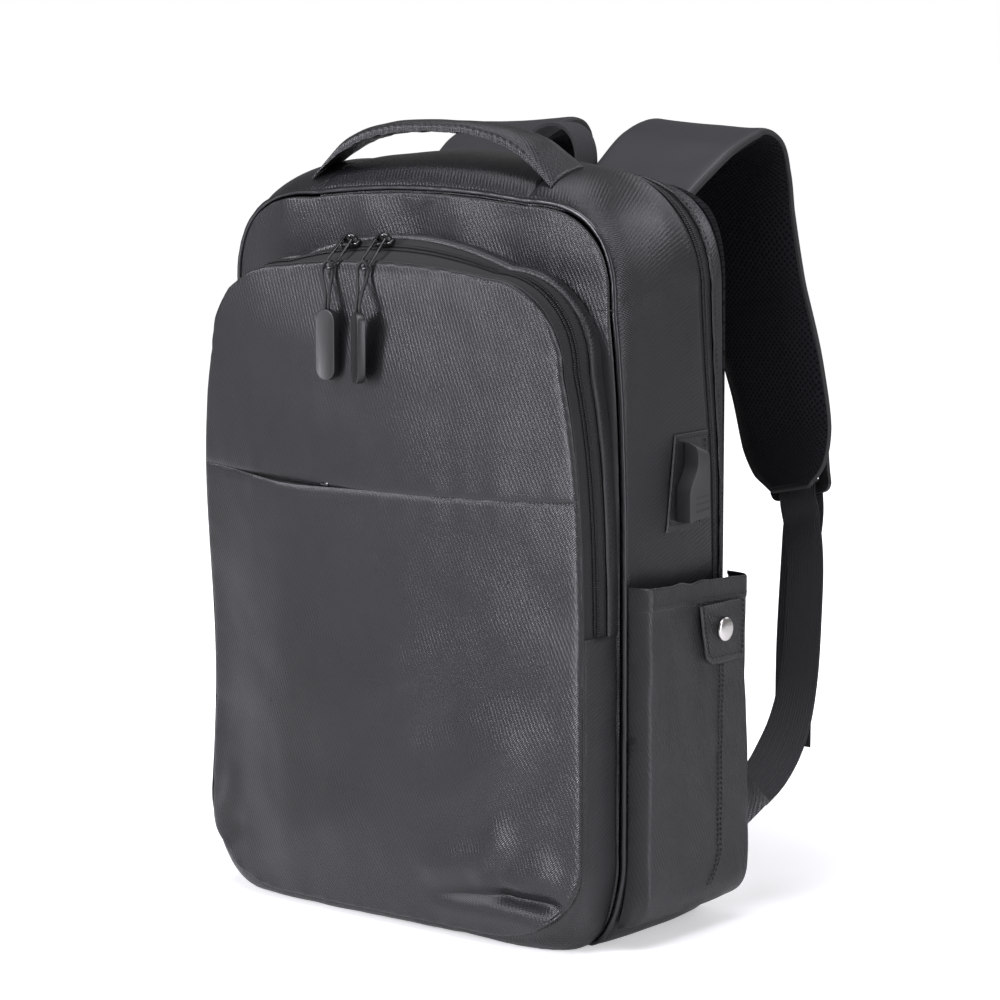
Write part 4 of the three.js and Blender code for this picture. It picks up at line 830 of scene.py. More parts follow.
lower_face = pocket_face(pocket_edges(True), True, 235)
upper_face = pocket_face(pocket_edges(False), False, 118)
finish_piece(
    "pocket_lower", sewn_sheet(seam_stops(292), seam_stops(250), lower_face, WALL, flat=front_cloth),
    body_leather, ["pocket_panel_lower"])
finish_piece(
    "pocket_upper", sewn_sheet(seam_stops(292), seam_stops(120), upper_face, WALL, flat=front_cloth),
    body_leather, ["pocket_panel_upper"])


# %% Wall of the pocket
def pocket_wall_point(turn, behind, outwards):
    """A point of the pocket's side wall, some millimetres behind its rim."""
    share = behind / POCKET_DEPTH
    x, z = outline_point(turn, pocket_section(share), outwards)
    root = POCKET_ROOT_Y - panel_crown(x, z)
    rim = rim_y(x, z)
    return x, max(lerp(rim, root, share), rim + WALL + 3 * GAP), z


ZIP_FRONT = WALL + 4 * GAP
ZIP_EDGE = ZIP_FRONT + FRONT_ZIP_WIDTH
under_at, under_length = ruler(FRONT_ZIP_END, BASE_MIDDLE, RIM)


def under_turn(u):
    return under_at(2 * u) if u <= 0.5 else -under_at(2 * (1 - u))


def pocket_gusset_place(u, v):
    behind = lerp(ZIP_FRONT, POCKET_DEPTH, v)
    along, before = u * 2 * under_length, v * 31
    end = min(u, 1 - u) * 2 * under_length
    turned = max(roll(before, 5, 1.8), roll(31 - before, 3, 0.8), roll(end, 3, 1.2))
    soft = cockle(along, behind, 24, 0.9, 7.0) * smoothstep(before, 0, 8) + pucker(before, along, 8, 0.5, 8, 8.0)
    return pocket_wall_point(under_turn(u), behind, soft - turned)


finish_piece(
    "pocket_wall", sewn_sheet(seam_stops(2 * under_length), seam_stops(31), pocket_gusset_place, WALL, flip=False),
    body_leather, ["pocket_gusset"])

ARCH_STOP = FRONT_ZIP_END - 0.0015
arch_at, arch_length = ruler(-ARCH_STOP, ARCH_STOP, RIM)


def arch_place(u, v):
    behind = lerp(ZIP_EDGE, POCKET_DEPTH, v)
    before = v * (POCKET_DEPTH - ZIP_EDGE)
    turned = max(roll(before, 2.5, 1.2), roll(min(u, 1 - u) * arch_length, 3, 1.2))
    return pocket_wall_point(arch_at(u), behind, cockle(u * arch_length, behind, 20, 0.5, 2.0) - turned)


finish_piece(
    "arch_strip", sewn_sheet(seam_stops(arch_length), seam_stops(8.8, 2, 2, 2), arch_place, WALL),
    body_leather, ["pocket_arch_strip"])

# %% [markdown]
# ## Zips
# A coil zip is two woven tapes with a row of nylon coils on each. The coils are hundreds of small ribs, so each is a
# cube of few faces that is set by one matrix, and one bevel rounds them all together.

# %% Zip tapes
SUNK = -WALL - TAPE_GAP


def tape_piece(name, node, turn_at, length, first, last, point_at, cells=8):
    bm = sewn_sheet(
        even_stops(round(length / 4)), even_stops(cells),
        lambda u, v: point_at(turn_at(u), first(turn_at(u)), last(turn_at(u)), v), TAPE_WALL)
    return finish_piece(name, bm, zip_cloth, [node])


def front_tape_point(turn, first, last, v):
    behind = lerp(first, last, v)
    bulge = 0.5 * math.exp(-(((behind - (ZIP_FRONT + ZIP_EDGE) / 2) / 4) ** 2))
    return pocket_wall_point(turn, behind, SUNK + bulge)


def body_wall_point(turn, y, outwards):
    x, z = outline_point(turn, body_section(y), outwards)
    return x, y, z


def main_tape_point(turn, first, last, v):
    return body_wall_point(turn, lerp(first, last, v), SUNK)


main_at, main_length = ruler(-ZIP_STOP, ZIP_STOP, body_section(52))
tape_piece("pocket_zip_tape", "front_zip_tape", arch_at, arch_length,
           lambda turn: ZIP_FRONT, lambda turn: ZIP_EDGE + TAPE_MARGIN, front_tape_point)
tape_piece("body_zip_tape", "main_zip_tape", main_at, main_length,
           lambda turn: zip_front(turn) - TAPE_MARGIN, lambda turn: zip_back(turn) + TAPE_MARGIN / 2, main_tape_point)


# %% Zip coils
def set_frame(centre, along, across, up, sizes):
    """The matrix of a small part with its own three directions and sizes, in metres."""
    columns = [direction * size * MM for direction, size in zip((along, across, up), sizes)]
    frame_of = Matrix.Identity(4)
    for k, column in enumerate(columns):
        for row in range(3):
            frame_of[row][k] = column[row]
    frame_of.translation = centre * MM
    return frame_of


def zip_coil(name, node, point_at, turn_at, length, middle, pitch=1.3, reach=1.45, rib=(0.78, 2.3, 1.1)):
    bm = bmesh.new()
    count = int(length / pitch)
    for k in range(count):
        share = (k + 0.5) / count
        turn, ahead = turn_at(share), turn_at(min(share + 0.002, 1))
        centre, there = Vector(point_at(turn, middle(turn), 0)), Vector(point_at(ahead, middle(ahead), 0))
        across = (Vector(point_at(turn, middle(turn) + 1, 0)) - centre).normalized()
        along = (there - centre).normalized()
        up = along.cross(across).normalized()
        if up.dot(Vector(point_at(turn, middle(turn), 1)) - centre) < 0:
            up.negate()
        for side in (-1, 1):
            place = centre + across * (side * reach) + along * (0.25 * pitch * side) + up * (rib[2] / 2)
            bmesh.ops.create_cube(bm, size=1, matrix=set_frame(place, along, across, up, rib))
    bmesh.ops.bevel(bm, geom=bm.edges[:], offset=0.22 * MM, segments=1, profile=0.5, affect="EDGES", material=-1)
    return finish_piece(name, bm, coil_nylon, [node] if node else (), sharp=60)


zip_coil("pocket_zip_coil", "front_zip_coil",
         lambda turn, behind, out: pocket_wall_point(turn, behind, SUNK + TAPE_GAP + out),
         arch_at, arch_length, lambda turn: (ZIP_FRONT + ZIP_EDGE) / 2)
zip_coil("body_zip_coil", "main_zip_coil",
         lambda turn, y, out: body_wall_point(turn, y, SUNK + 0.1 + out),
         main_at, main_length, lambda turn: (zip_front(turn) + zip_back(turn)) / 2)

# %% Hidden zip of the slit
TAPE_EDGE = outline_point(side_turn(SLIT_HEIGHT, RIM), RIM)[0] - 2 * WALL


def slit_middle(x):
    return SLIT_HEIGHT - 2 * WALL * (1 - (x / TAPE_EDGE) ** 2)


def slit_tape_place(u, v):
    x = lerp(-TAPE_EDGE, TAPE_EDGE, u)
    z = slit_middle(x) + (v - 0.5) * COIL_WIDTH * 2
    return x, pocket_front(x, z) + WALL + 3 * GAP, z


def slit_coil_point(x, down, out):
    z = slit_middle(x) - down
    return x, pocket_front(x, z) + WALL + 3 * GAP - out, z


finish_piece(
    "slit_tape", sewn_sheet(even_stops(70), even_stops(4), slit_tape_place, TAPE_WALL, flat=front_cloth),
    zip_cloth, ["pocket_slit_tape"])
SLIT_REACH = 96
zip_coil("slit_coil", None, slit_coil_point, lambda share: lerp(-SLIT_REACH, SLIT_REACH, share), 2 * SLIT_REACH,
         lambda x: 0, reach=1.2, rib=(0.78, 1.9, 0.8))

# %% [markdown]
# ## Piping
# A cord under a strip of leather stiffens the front seam. Its path is the outline itself, with small puckers where
# the leather is gathered round the cord. A round section carried by a matrix at each step makes the tube, and its
# two ends meet at the middle of the base.

# %% Tube along a line
def tube(points, radii, sides=12, closed=False):
    """A closed tube through points in metres, with a radius for each ring."""
    bm = bmesh.new()
    rings = []
    lift = Vector((0.1, 0.2, 1)).normalized()
    for k, (centre, radius) in enumerate(zip(points, radii)):
        ahead = points[min(k + 1, len(points) - 1)] - points[max(k - 1, 0)]
        if closed and k in (0, len(points) - 1):
            ahead = points[1] - points[-2]
        along = ahead.normalized()
        lift = (lift - along * lift.dot(along)).normalized()
        turned = Matrix((lift.cross(along), lift, along)).transposed().to_4x4()
        turned.translation = centre
        ring = bmesh.ops.create_circle(bm, segments=sides, radius=radius, matrix=turned)["verts"]
        rings.append(ring)
    loops = []
    for ring in rings:
        members = set(ring)
        loops.append({edge for vert in ring for edge in vert.link_edges if edge.other_vert(vert) in members})
    for before, after in zip(loops, loops[1:]):
        bmesh.ops.bridge_loops(bm, edges=list(before | after))
    for ring in (rings[0], rings[-1]):
        bmesh.ops.contextual_create(bm, geom=[*ring, *{e for v in ring for e in v.link_edges if e.other_vert(v) in ring}])
    bmesh.ops.recalc_face_normals(bm, faces=bm.faces[:])
    return bm


piping_at, piping_length = ruler(-4.99, 4.99, body_section(FRONT_SEAM_Y))
points, radii = [], []
for k in range(450):
    share = k / 449
    x, z = outline_point(piping_at(share), body_section(FRONT_SEAM_Y))
    ring = 1 + 0.16 * noise.noise(Vector((share * piping_length / 5, 0, 0)))
    sway = 0.35 * noise.noise(Vector((share * piping_length / 14, 4, 0)))
    points.append(Vector((x, FRONT_SEAM_Y + sway, max(z, PIPING_RADIUS + GAP))) * MM)
    radii.append(PIPING_RADIUS * ring * MM)
finish_piece("piping", tube(points, radii, 10), body_leather, ["front_piping"])

# %% [markdown]
# ## Side pockets
# A side pocket leaves the front seam in a round fold, stands off the bag, and comes back at the rear seam. The
# same place function carries the pocket, its hem, the tab and every stitch on it, so they cannot drift apart.

# %% Face of a side pocket
def corner_turn(z, section):
    return 3 + math.asin(clamp(1 - z / section["rise"], 0, 1)) / (math.pi / 2)


def side_pocket_x(y, z):
    share = (y - GUSSET_FRONT_Y) / (SIDE_POCKET_BACK_Y - GUSSET_FRONT_Y)
    section = body_section(y)
    turn = side_turn(z, section) if z > section["rise"] else corner_turn(z, section)
    level = math.cos(max(turn - 3, 0) * math.pi / 2)
    body = right_outline(turn, section)[0] + GAP + WALL * (0.35 + 4 * (1 - level))
    back_reach = lerp(0.035, 0.09, smoothstep(z, 0.15 * BODY_HEIGHT, 0.35 * BODY_HEIGHT))
    stand = quarter_round(share / 0.07) * quarter_round((1 - share) / back_reach)
    stand *= quarter_round((z - POCKET_FLOOR) / (1.5 * POCKET_FLOOR))
    full = BODY_HALF_WIDTH + SIDE_POCKET_STANDOFF + WALL
    middle = math.sin(math.pi * clamp(share, 0, 1)) * smoothstep(z, POCKET_FLOOR, 60)
    soft = cockle(y, z, 22, 0.8, 11.0) + cockle(y + z * 0.3, z * 0.4, 9, 0.3, 12.0) - 1.2 * middle
    return lerp(body, full + soft * stand, stand)


def on_side_pocket(side, y, z, outwards):
    step = 0.3
    slope_y = (side_pocket_x(y + step, z) - side_pocket_x(y - step, z)) / (2 * step)
    slope_z = (side_pocket_x(y, z + step) - side_pocket_x(y, z - step)) / (2 * step)
    normal = Vector((1, -clamp(slope_y, -3, 3), -clamp(slope_z, -3, 3))).normalized()
    return Vector((side * (side_pocket_x(y, z) + normal.x * outwards), y + normal.y * outwards, z + normal.z * outwards))


def mouth_height(y):
    share = (y - GUSSET_FRONT_Y) / (SIDE_POCKET_BACK_Y - GUSSET_FRONT_Y)
    return SIDE_POCKET_HEIGHT - WALL * 2 * share + cockle(y, 0, 12, 1.6, 13.0) * math.sin(math.pi * clamp(share, 0, 1))


POCKET_STOPS = seam_stops(106, 3.0, 13, 9)


def pocket_y(u):
    return lerp(GUSSET_FRONT_Y, SIDE_POCKET_BACK_Y, u)


def side_pocket_place(side):
    def place(u, v):
        y = pocket_y(u)
        z = lerp(POCKET_FLOOR, mouth_height(y) - HEM_HEIGHT, v**1.35)
        return on_side_pocket(side, y, z, 0)
    return place


def side_hem_place(side):
    def place(u, v):
        y = pocket_y(u)
        top = mouth_height(y)
        folded = roll(min(v, 1 - v) * HEM_HEIGHT, 1.6, 0.8)
        return on_side_pocket(side, y, top - HEM_HEIGHT + GAP + v * (HEM_HEIGHT - GAP), 0.5 - folded)
    return place


for hand, sign in (("right", 1), ("left", -1)):
    finish_piece(
        f"pocket_{hand}", sewn_sheet(POCKET_STOPS, even_stops(56), side_pocket_place(sign), WALL, flip=sign < 0),
        body_leather, [f"side_pocket_{hand}"])
    finish_piece(
        f"pocket_hem_{hand}",
        sewn_sheet(POCKET_STOPS, seam_stops(HEM_HEIGHT, 2, 2, 3), side_hem_place(sign), WALL, flip=sign < 0),
        body_leather, [f"side_pocket_hem_{hand}"])

# %% [markdown]
# ### The tab and its snap
# The tab is a patch with rounded lower corners, laid 2 mm over the pocket. The snap's cap is a profile that is
# spun round its own axis, the quickest way to a shape that is turned.

# %% Tab and snap
TAB_TOP = SIDE_POCKET_HEIGHT - HEM_HEIGHT - 2 * WALL - GAP
TAB_HEIGHT, TAB_BACK_Y, TAB_CORNER = 34, BACK_SEAM_Y - 10, 8


def tab_outline(down):
    """The front and back edges of the tab at a distance above its lower edge."""
    front = lerp(TAB_BACK_Y - 36, TAB_BACK_Y - 44, down / TAB_HEIGHT)
    cut = TAB_CORNER * (1 - quarter_round(down / TAB_CORNER))
    return front + cut, TAB_BACK_Y - 0.6 * cut


def tab_place(u, v):
    up = v * TAB_HEIGHT
    front, back = tab_outline(up)
    turned = roll(min(u * 38, (1 - u) * 38, up), 1.5, 0.7)
    return on_side_pocket(1, lerp(front, back, u), TAB_TOP - TAB_HEIGHT + up, 2 * GAP + WALL - turned)


finish_piece(
    "pocket_tab", sewn_sheet(seam_stops(38, 2, 2, 3), seam_stops(TAB_HEIGHT, 1.6, 4, 5), tab_place, WALL - 0.3),
    body_leather, ["pocket_tab_right"])

SNAP_PLACE = Vector((0, TAB_BACK_Y - 20, TAB_TOP - TAB_HEIGHT / 2 + 1))
SNAP_PROFILE = [(7, 0), (7, 0.7), (6.75, 1.15), (6.2, 1.5), (5.2, 1.85), (3.6, 2.15), (1.8, 2.28), (0, 2.3)]


def turned_piece(profile, place, axis, steps=32):
    """A profile of (radius, rise) pairs spun round an axis."""
    bm = bmesh.new()
    rings = [bm.verts.new((radius * MM, 0, rise * MM)) for radius, rise in profile]
    for a, b in zip(rings, rings[1:]):
        bm.edges.new((a, b))
    bmesh.ops.spin(bm, geom=bm.verts[:] + bm.edges[:], cent=(0, 0, 0), axis=(0, 0, 1), angle=TURN, steps=steps,
                   use_merge=True)
    bmesh.ops.remove_doubles(bm, verts=bm.verts[:], dist=0.00001)
    bmesh.ops.holes_fill(bm, edges=[edge for edge in bm.edges if edge.is_boundary], sides=steps)
    bmesh.ops.recalc_face_normals(bm, faces=bm.faces[:])
    bmesh.ops.transform(bm, verts=bm.verts[:], matrix=axis.to_track_quat("Z", "Y").to_matrix().to_4x4())
    bmesh.ops.translate(bm, verts=bm.verts[:], vec=place * MM)
    return bm


snap_at = on_side_pocket(1, SNAP_PLACE.y, SNAP_PLACE.z, WALL + 2 * GAP)
finish_piece(
    "tab_snap", turned_piece(SNAP_PROFILE, snap_at, Vector((1, 0, 0))), pale_metal, ["tab_snap_right"])

# %% [markdown]
# ## Charging port
# The port is a stitched patch and a moulded hood. The hood is high at its front edge and runs out to nothing at the
# back, so a grid bent by two curves gives it, and a bevel on its hard edges gives the moulded rounding.

# %% Port patch and hood
PORT_WIDTH, PORT_HEIGHT, PORT_RISE = 34, 45, 10
PORT_Y, PORT_Z = zip_front(2.3) - PORT_WIDTH / 2 - 4, 0.597 * BODY_HEIGHT


def side_face(y, z, outwards):
    section = body_section(y)
    return Vector((outline_point(side_turn(z, section), section, outwards)[0], y, z))


def port_patch_place(u, v):
    z = PORT_Z + (v - 0.5) * (PORT_HEIGHT + 9)
    y = PORT_Y - 4 + (u - 0.5) * PORT_WIDTH + (0.5 - v) * -8
    edge = min(u * PORT_WIDTH, (1 - u) * PORT_WIDTH, v * 54, (1 - v) * 54)
    return side_face(y, z, GAP + WALL * 0.6 - roll(edge, 1.5, 0.6))


def hood_point(u, v, share=1.0):
    z = PORT_Z + (v - 0.5) * PORT_HEIGHT - (2 * v - 1) * 8 * u * (v > 0.5)
    front = PORT_Y - PORT_WIDTH / 2 + 8 * smoothstep(v, 0.35, 0.75)
    y = lerp(front, PORT_Y + PORT_WIDTH / 2 - 2, u)
    ends = quarter_round((1 - v) / 0.14)
    rise = lerp(PORT_RISE, 2, u**0.8) * lerp(0.3, 1, ends)
    return side_face(y, z, 2 * GAP + WALL * 0.6 + rise * share)


def soften(bm, angle, offset, segments=3):
    """Rounds the edges of a closed piece that are sharper than an angle."""
    bm.normal_update()
    hard = [edge for edge in bm.edges if edge.is_manifold and edge.calc_face_angle(0) > math.radians(angle)]
    bmesh.ops.bevel(bm, geom=hard, offset=offset * MM, segments=segments, profile=0.5, affect="EDGES", material=-1,
                    clamp_overlap=True)


finish_piece(
    "port_patch", sewn_sheet(seam_stops(PORT_WIDTH, 2, 2), seam_stops(54, 2, 2), port_patch_place, 1.2),
    body_leather, ["usb_patch"])
hood = bmesh.new()
HOOD_ACROSS, HOOD_UP = 12, 20
bmesh.ops.create_grid(hood, x_segments=HOOD_ACROSS, y_segments=HOOD_UP, size=0.5)
floor_verts = {vert: (vert.co.x + 0.5, vert.co.y + 0.5) for vert in hood.verts}
raised_faces = bmesh.ops.extrude_face_region(hood, geom=hood.faces[:], use_keep_orig=True)["geom"]
for vert in (item for item in raised_faces if isinstance(item, bmesh.types.BMVert)):
    vert.co = hood_point(vert.co.x + 0.5, vert.co.y + 0.5) * MM
for vert, (u, v) in floor_verts.items():
    vert.co = hood_point(u, v, 0.0) * MM
bmesh.ops.recalc_face_normals(hood, faces=hood.faces[:])
soften(hood, 50, 1.1)
finish_piece("port_hood", hood, port_rubber, ["usb_hood"])

# %% Vent dots of the hood, flat black discs that paint the shade in its vent holes
VENT_ROWS = named_rows("v radius", [(0.11, 0.95), (0.2, 0.8), (0.28, 0.6)])
# Painted shade: each vent hole is a flat black disc laid on the hood.
vent_shade_dots = bmesh.new()
for row in VENT_ROWS:
    for k in range(7):
        u = lerp(0.36, 0.92, k / 6)
        spot = hood_point(u, row["v"])
        back, up = hood_point(u + 0.05, row["v"]) - spot, hood_point(u, row["v"] + 0.05) - spot
        out = back.cross(up).normalized()
        place = set_frame(spot, back.normalized(), out.cross(back).normalized(), out, (row["radius"], row["radius"], 0.12))
        bmesh.ops.create_icosphere(vent_shade_dots, subdivisions=2, radius=1, matrix=place)
finish_piece("port_vent_shade", vent_shade_dots, black_thread)

# %% [markdown]
# ## Padded pieces
# The handle, the shoulder straps and the back are foam under cloth. Foam swells between its seams, so each pad is
# given the Cloth simulation with a little air pressure: it starts slightly thin, puffs up, and every point may move
# only a few millimetres. The simulation is short and has no random part, so it gives the same pad each time.

# %% Puff a pad
PUFF_FRAMES = 16


def puff(piece, pressure=3.0, most=2.5, voxel=None):
    """Swells a closed pad with Cloth pressure, keeps each point near its start and applies the result."""
    start = [vert.co.copy() for vert in piece.data.vertices]
    cloth = piece.modifiers.new("puff", "CLOTH")
    settings = cloth.settings
    settings.use_pressure, settings.uniform_pressure_force = True, pressure
    settings.effector_weights.gravity = 0
    settings.tension_stiffness = settings.compression_stiffness = 40
    settings.bending_stiffness = 4
    settings.quality = 5
    cloth.collision_settings.use_collision = False
    cloth.point_cache.frame_end = PUFF_FRAMES
    for frame_number in range(1, PUFF_FRAMES + 1):
        bpy.context.scene.frame_set(frame_number)
    swollen = piece.evaluated_get(bpy.context.evaluated_depsgraph_get())
    moved = [vert.co.copy() for vert in swollen.data.vertices]
    piece.modifiers.remove(cloth)
    far = 0.0
    for vert, old, new in zip(piece.data.vertices, start, moved):
        step = new - old
        if step.length > most * MM:
            step = step.normalized() * most * MM
        vert.co = old + step
        far = max(far, step.length)
    bpy.context.scene.frame_set(1)
    print(f"{piece.name}: swelled by up to {far / MM:.1f} mm")


# %% [markdown]
# ## Handle
# The grip is a foam core in a leather wrap that is pulled tight, so its underside shows small gathers. It rises from
# two flat feet on the top panel. Its section narrows over the grip and its two long edges are rounded.

# %% Handle
HANDLE_HALF_SPAN, HANDLE_RISE, HANDLE_WIDTH, HANDLE_THICKNESS = 90, 24, 30, 7
HANDLE_Y = FRONT_SEAM_Y + BODY_DEPTH * 0.22


def top_height(x, y):
    section = body_section(y)
    seam, size = section["seam"], abs(x)
    if size <= seam:
        turn = size / seam
    else:
        reach = clamp((size - seam) / (section["upper"] - seam), 0, 1) ** (1 / section["power"])
        turn = 2 - 2 / math.pi * math.acos(reach)
    return outline_point(turn, section)[1]


HANDLE_CREST = top_height(0, HANDLE_Y) + HANDLE_RISE


def handle_point(u, v, share):
    """u goes across the grip, v from foot to foot, and share from its underside (0) to its top (1)."""
    angle = (v - 0.5) * 2
    x = HANDLE_HALF_SPAN * angle
    grip = smoothstep(1 - abs(angle), 0.1, 0.4)
    y = HANDLE_Y + (u - 0.5) * HANDLE_WIDTH * (1 - 0.12 * (1 - angle**2))
    floor = top_height(x, y) + GAP
    lift = (1 - abs(angle) ** 2.6) * (HANDLE_CREST - floor - HANDLE_THICKNESS)
    edge = math.sqrt(1 - 0.8 * abs(2 * u - 1) ** 3)
    thickness = lerp(WALL, HANDLE_THICKNESS, smoothstep(1 - abs(angle), 0, 0.25)) * edge
    round_in = (1 - edge) * (1 - grip * 0.2)
    gather = grip * (1 - share) * (0.9 * noise.noise(Vector((x / 4.5, y / 30, 1))) - 0.2)
    soft = grip * cockle(x, y, 16, 0.5, 21.0)
    return Vector((x, y, floor + lift + share * thickness + round_in + gather + soft))


def padded_band(point_at, cells_u, cells_v, sides=3):
    """A closed pad: a grid extruded to its other face, with rows between the faces so that its sides can round."""
    bm = bmesh.new()
    cloth = bm.loops.layers.uv.new("cloth")
    bmesh.ops.create_grid(bm, x_segments=cells_u, y_segments=cells_v, size=0.5)
    places = {vert: (vert.co.x + 0.5, vert.co.y + 0.5, 0.0) for vert in bm.verts}
    grown = bm.faces[:]
    for k in range(1, sides + 1):
        made = bmesh.ops.extrude_face_region(bm, geom=grown, use_keep_orig=k == 1)["geom"]
        for vert in (item for item in made if isinstance(item, bmesh.types.BMVert)):
            places[vert] = (vert.co.x + 0.5, vert.co.y + 0.5, k / sides)
        old = [face for face in grown if face.is_valid and k > 1]
        grown = [item for item in made if isinstance(item, bmesh.types.BMFace)]
        bmesh.ops.delete(bm, geom=old, context="FACES_ONLY")
    for face in bm.faces:
        for loop in face.loops:
            u, v, share = places[loop.vert]
            loop[cloth].uv = (u, v)
    for vert, (u, v, share) in places.items():
        if vert.is_valid:
            vert.co = point_at(u, v, share) * MM
    bmesh.ops.recalc_face_normals(bm, faces=bm.faces[:])
    return bm


def scale_cloth(bm, width, length):
    """Turns a UV map of shares into metres."""
    cloth = bm.loops.layers.uv["cloth"]
    for face in bm.faces:
        for loop in face.loops:
            u, v = loop[cloth].uv
            loop[cloth].uv = (u * width * MM, v * length * MM)
    return bm


handle = finish_piece(
    "grip", scale_cloth(padded_band(handle_point, 14, 90), 34, 210), body_leather, ["handle"], sharp=70)
puff(handle, 2.0, 1.0)

# %% [markdown]
# ## Shoulder straps
# Each strap is a foam pad with spacer mesh against the wearer and smooth leather outside, held round its edge by a
# narrow binding. Its middle line is a table of rows, and a smooth curve that is even in speed runs through them. A
# band is carried along that line with its own width and roll.

# %% A smooth line and a band along it
STRAP_WIDTH, STRAP_PAD, STRAP_COVER = 82, 10, 1.8
WEBBING_WIDTH, WEBBING_THICKNESS = 26, 1.4
STRAP_PATH = named_rows("x back z width roll", [
    (0.45, 0.02, 0.94, 0.9, 4), (0.455, 0.27, 0.984, 0.94, 5), (0.465, 0.52, 1.022, 0.99, 5),
    (0.475, 0.77, 1.037, 1.0, 4), (0.495, 0.916, 1.018, 0.98, 2), (0.505, 0.986, 0.972, 0.94, 0),
    (0.53, 1.005, 0.91, 0.9, 0), (0.594, 1.0, 0.822, 0.855, 0), (0.65, 0.99, 0.764, 0.82, -1),
    (0.738, 0.944, 0.692, 0.775, -2), (0.814, 0.888, 0.616, 0.72, -3), (0.85, 0.85, 0.575, 0.56, -4),
    (0.868, 0.822, 0.55, 0.3, -4),
])
WEBBING_RUN = named_rows("x back z roll", [
    (0.885, 0.905, 0.5, 0), (0.925, 0.855, 0.45, 0), (0.96, 0.77, 0.38, 2), (1.0, 0.64, 0.295, 8),
    (1.03, 0.47, 0.234, 26), (1.03, 0.3, 0.19, 56), (1.015, 0.17, 0.165, 78),
])
WEBBING_TAIL = named_rows("x back z roll", [(0.835, 0.99, 0.46, 0), (0.82, 0.975, 0.33, 0), (0.82, 0.965, 0.186, 2)])


def smooth_line(points):
    """A curve through all the points, with knots spaced by the root of their distance."""
    first, last = points[0] * 2 - points[1], points[-1] * 2 - points[-2]
    knots = [first, *points, last]

    def at(share):
        place = clamp(share, 0, 1) * (len(points) - 1)
        k = min(int(place), len(points) - 2)
        w = place - k
        p0, p1, p2, p3 = knots[k:k + 4]
        d0, d1, d2 = ((b - a).length ** 0.5 for a, b in ((p0, p1), (p1, p2), (p2, p3)))
        d1 = d1 if d1 >= 1e-4 else 1.0
        d0 = d0 if d0 >= 1e-4 else d1
        d2 = d2 if d2 >= 1e-4 else d1
        leave = ((p1 - p0) / d0 - (p2 - p0) / (d0 + d1) + (p2 - p1) / d1) * d1
        reach = ((p2 - p1) / d1 - (p3 - p1) / (d1 + d2) + (p3 - p2) / d2) * d1
        return p1 + leave * w + (p2 * 3 - p1 * 3 - leave * 2 - reach) * w**2 + (p1 * 2 - p2 * 2 + leave + reach) * w**3

    return at


def heading(line, share):
    return (line(min(share + 0.0001, 1)) - line(max(share - 0.0001, 0))).normalized()


def place_row(row, width):
    return {
        "x": row["x"] * BODY_HALF_WIDTH, "y": BACK_SEAM_Y + row["back"] * BODY_DEPTH, "z": row["z"] * BODY_HEIGHT,
        "width": width, "roll": row["roll"],
    }


def band_placer(rows, side, across_from=Vector((1, 0, 0))):
    line = smooth_line([Vector((side * row["x"], row["y"], row["z"])) for row in rows])
    table = [{**row, "at": index / (len(rows) - 1)} for index, row in enumerate(rows)]

    def place(u, v, offset):
        along = heading(line, v)
        across = (across_from - along * along.dot(across_from)).normalized()
        across = Matrix.Rotation(math.radians(side * read_table(table, "at", "roll", v)), 3, along) @ across
        width = read_table(table, "at", "width", v)
        return line(v) + across * ((u - 0.5) * width) + across.cross(along) * offset

    return place


def back_pad_thickness(x, z):
    across, up = clamp(x / (0.956 * BODY_HALF_WIDTH), -1, 1), clamp(2 * z / (0.985 * BODY_HEIGHT) - 1, -1, 1)
    pad = (1 - across**6) * (1 - up**8)
    return 4 + 11 * pad * (1 - 0.35 * math.exp(-((x / (0.1 * BODY_HALF_WIDTH)) ** 2)))


def clear_of_back(point):
    limit = GUSSET_BACK_Y + 2 * GAP + back_pad_thickness(clamp(point.x, -BODY_HALF_WIDTH, BODY_HALF_WIDTH), point.z)
    point.y = max(point.y, limit)
    return point


# %% Strap pads, covers and bindings
STRAP_CREASES = named_rows("at depth reach", [(0.12, 0.9, 0.012), (0.3, 2.2, 0.02), (0.62, 1.2, 0.016), (0.84, 1.0, 0.014)])


def strap_edge(u):
    return math.sqrt(1 - 0.9 * abs(2 * u - 1) ** 4)


def creases_at(v, u):
    lean = 0.02 * (u - 0.5)
    return sum(row["depth"] * math.exp(-(((v + lean - row["at"]) / row["reach"]) ** 2)) for row in STRAP_CREASES)


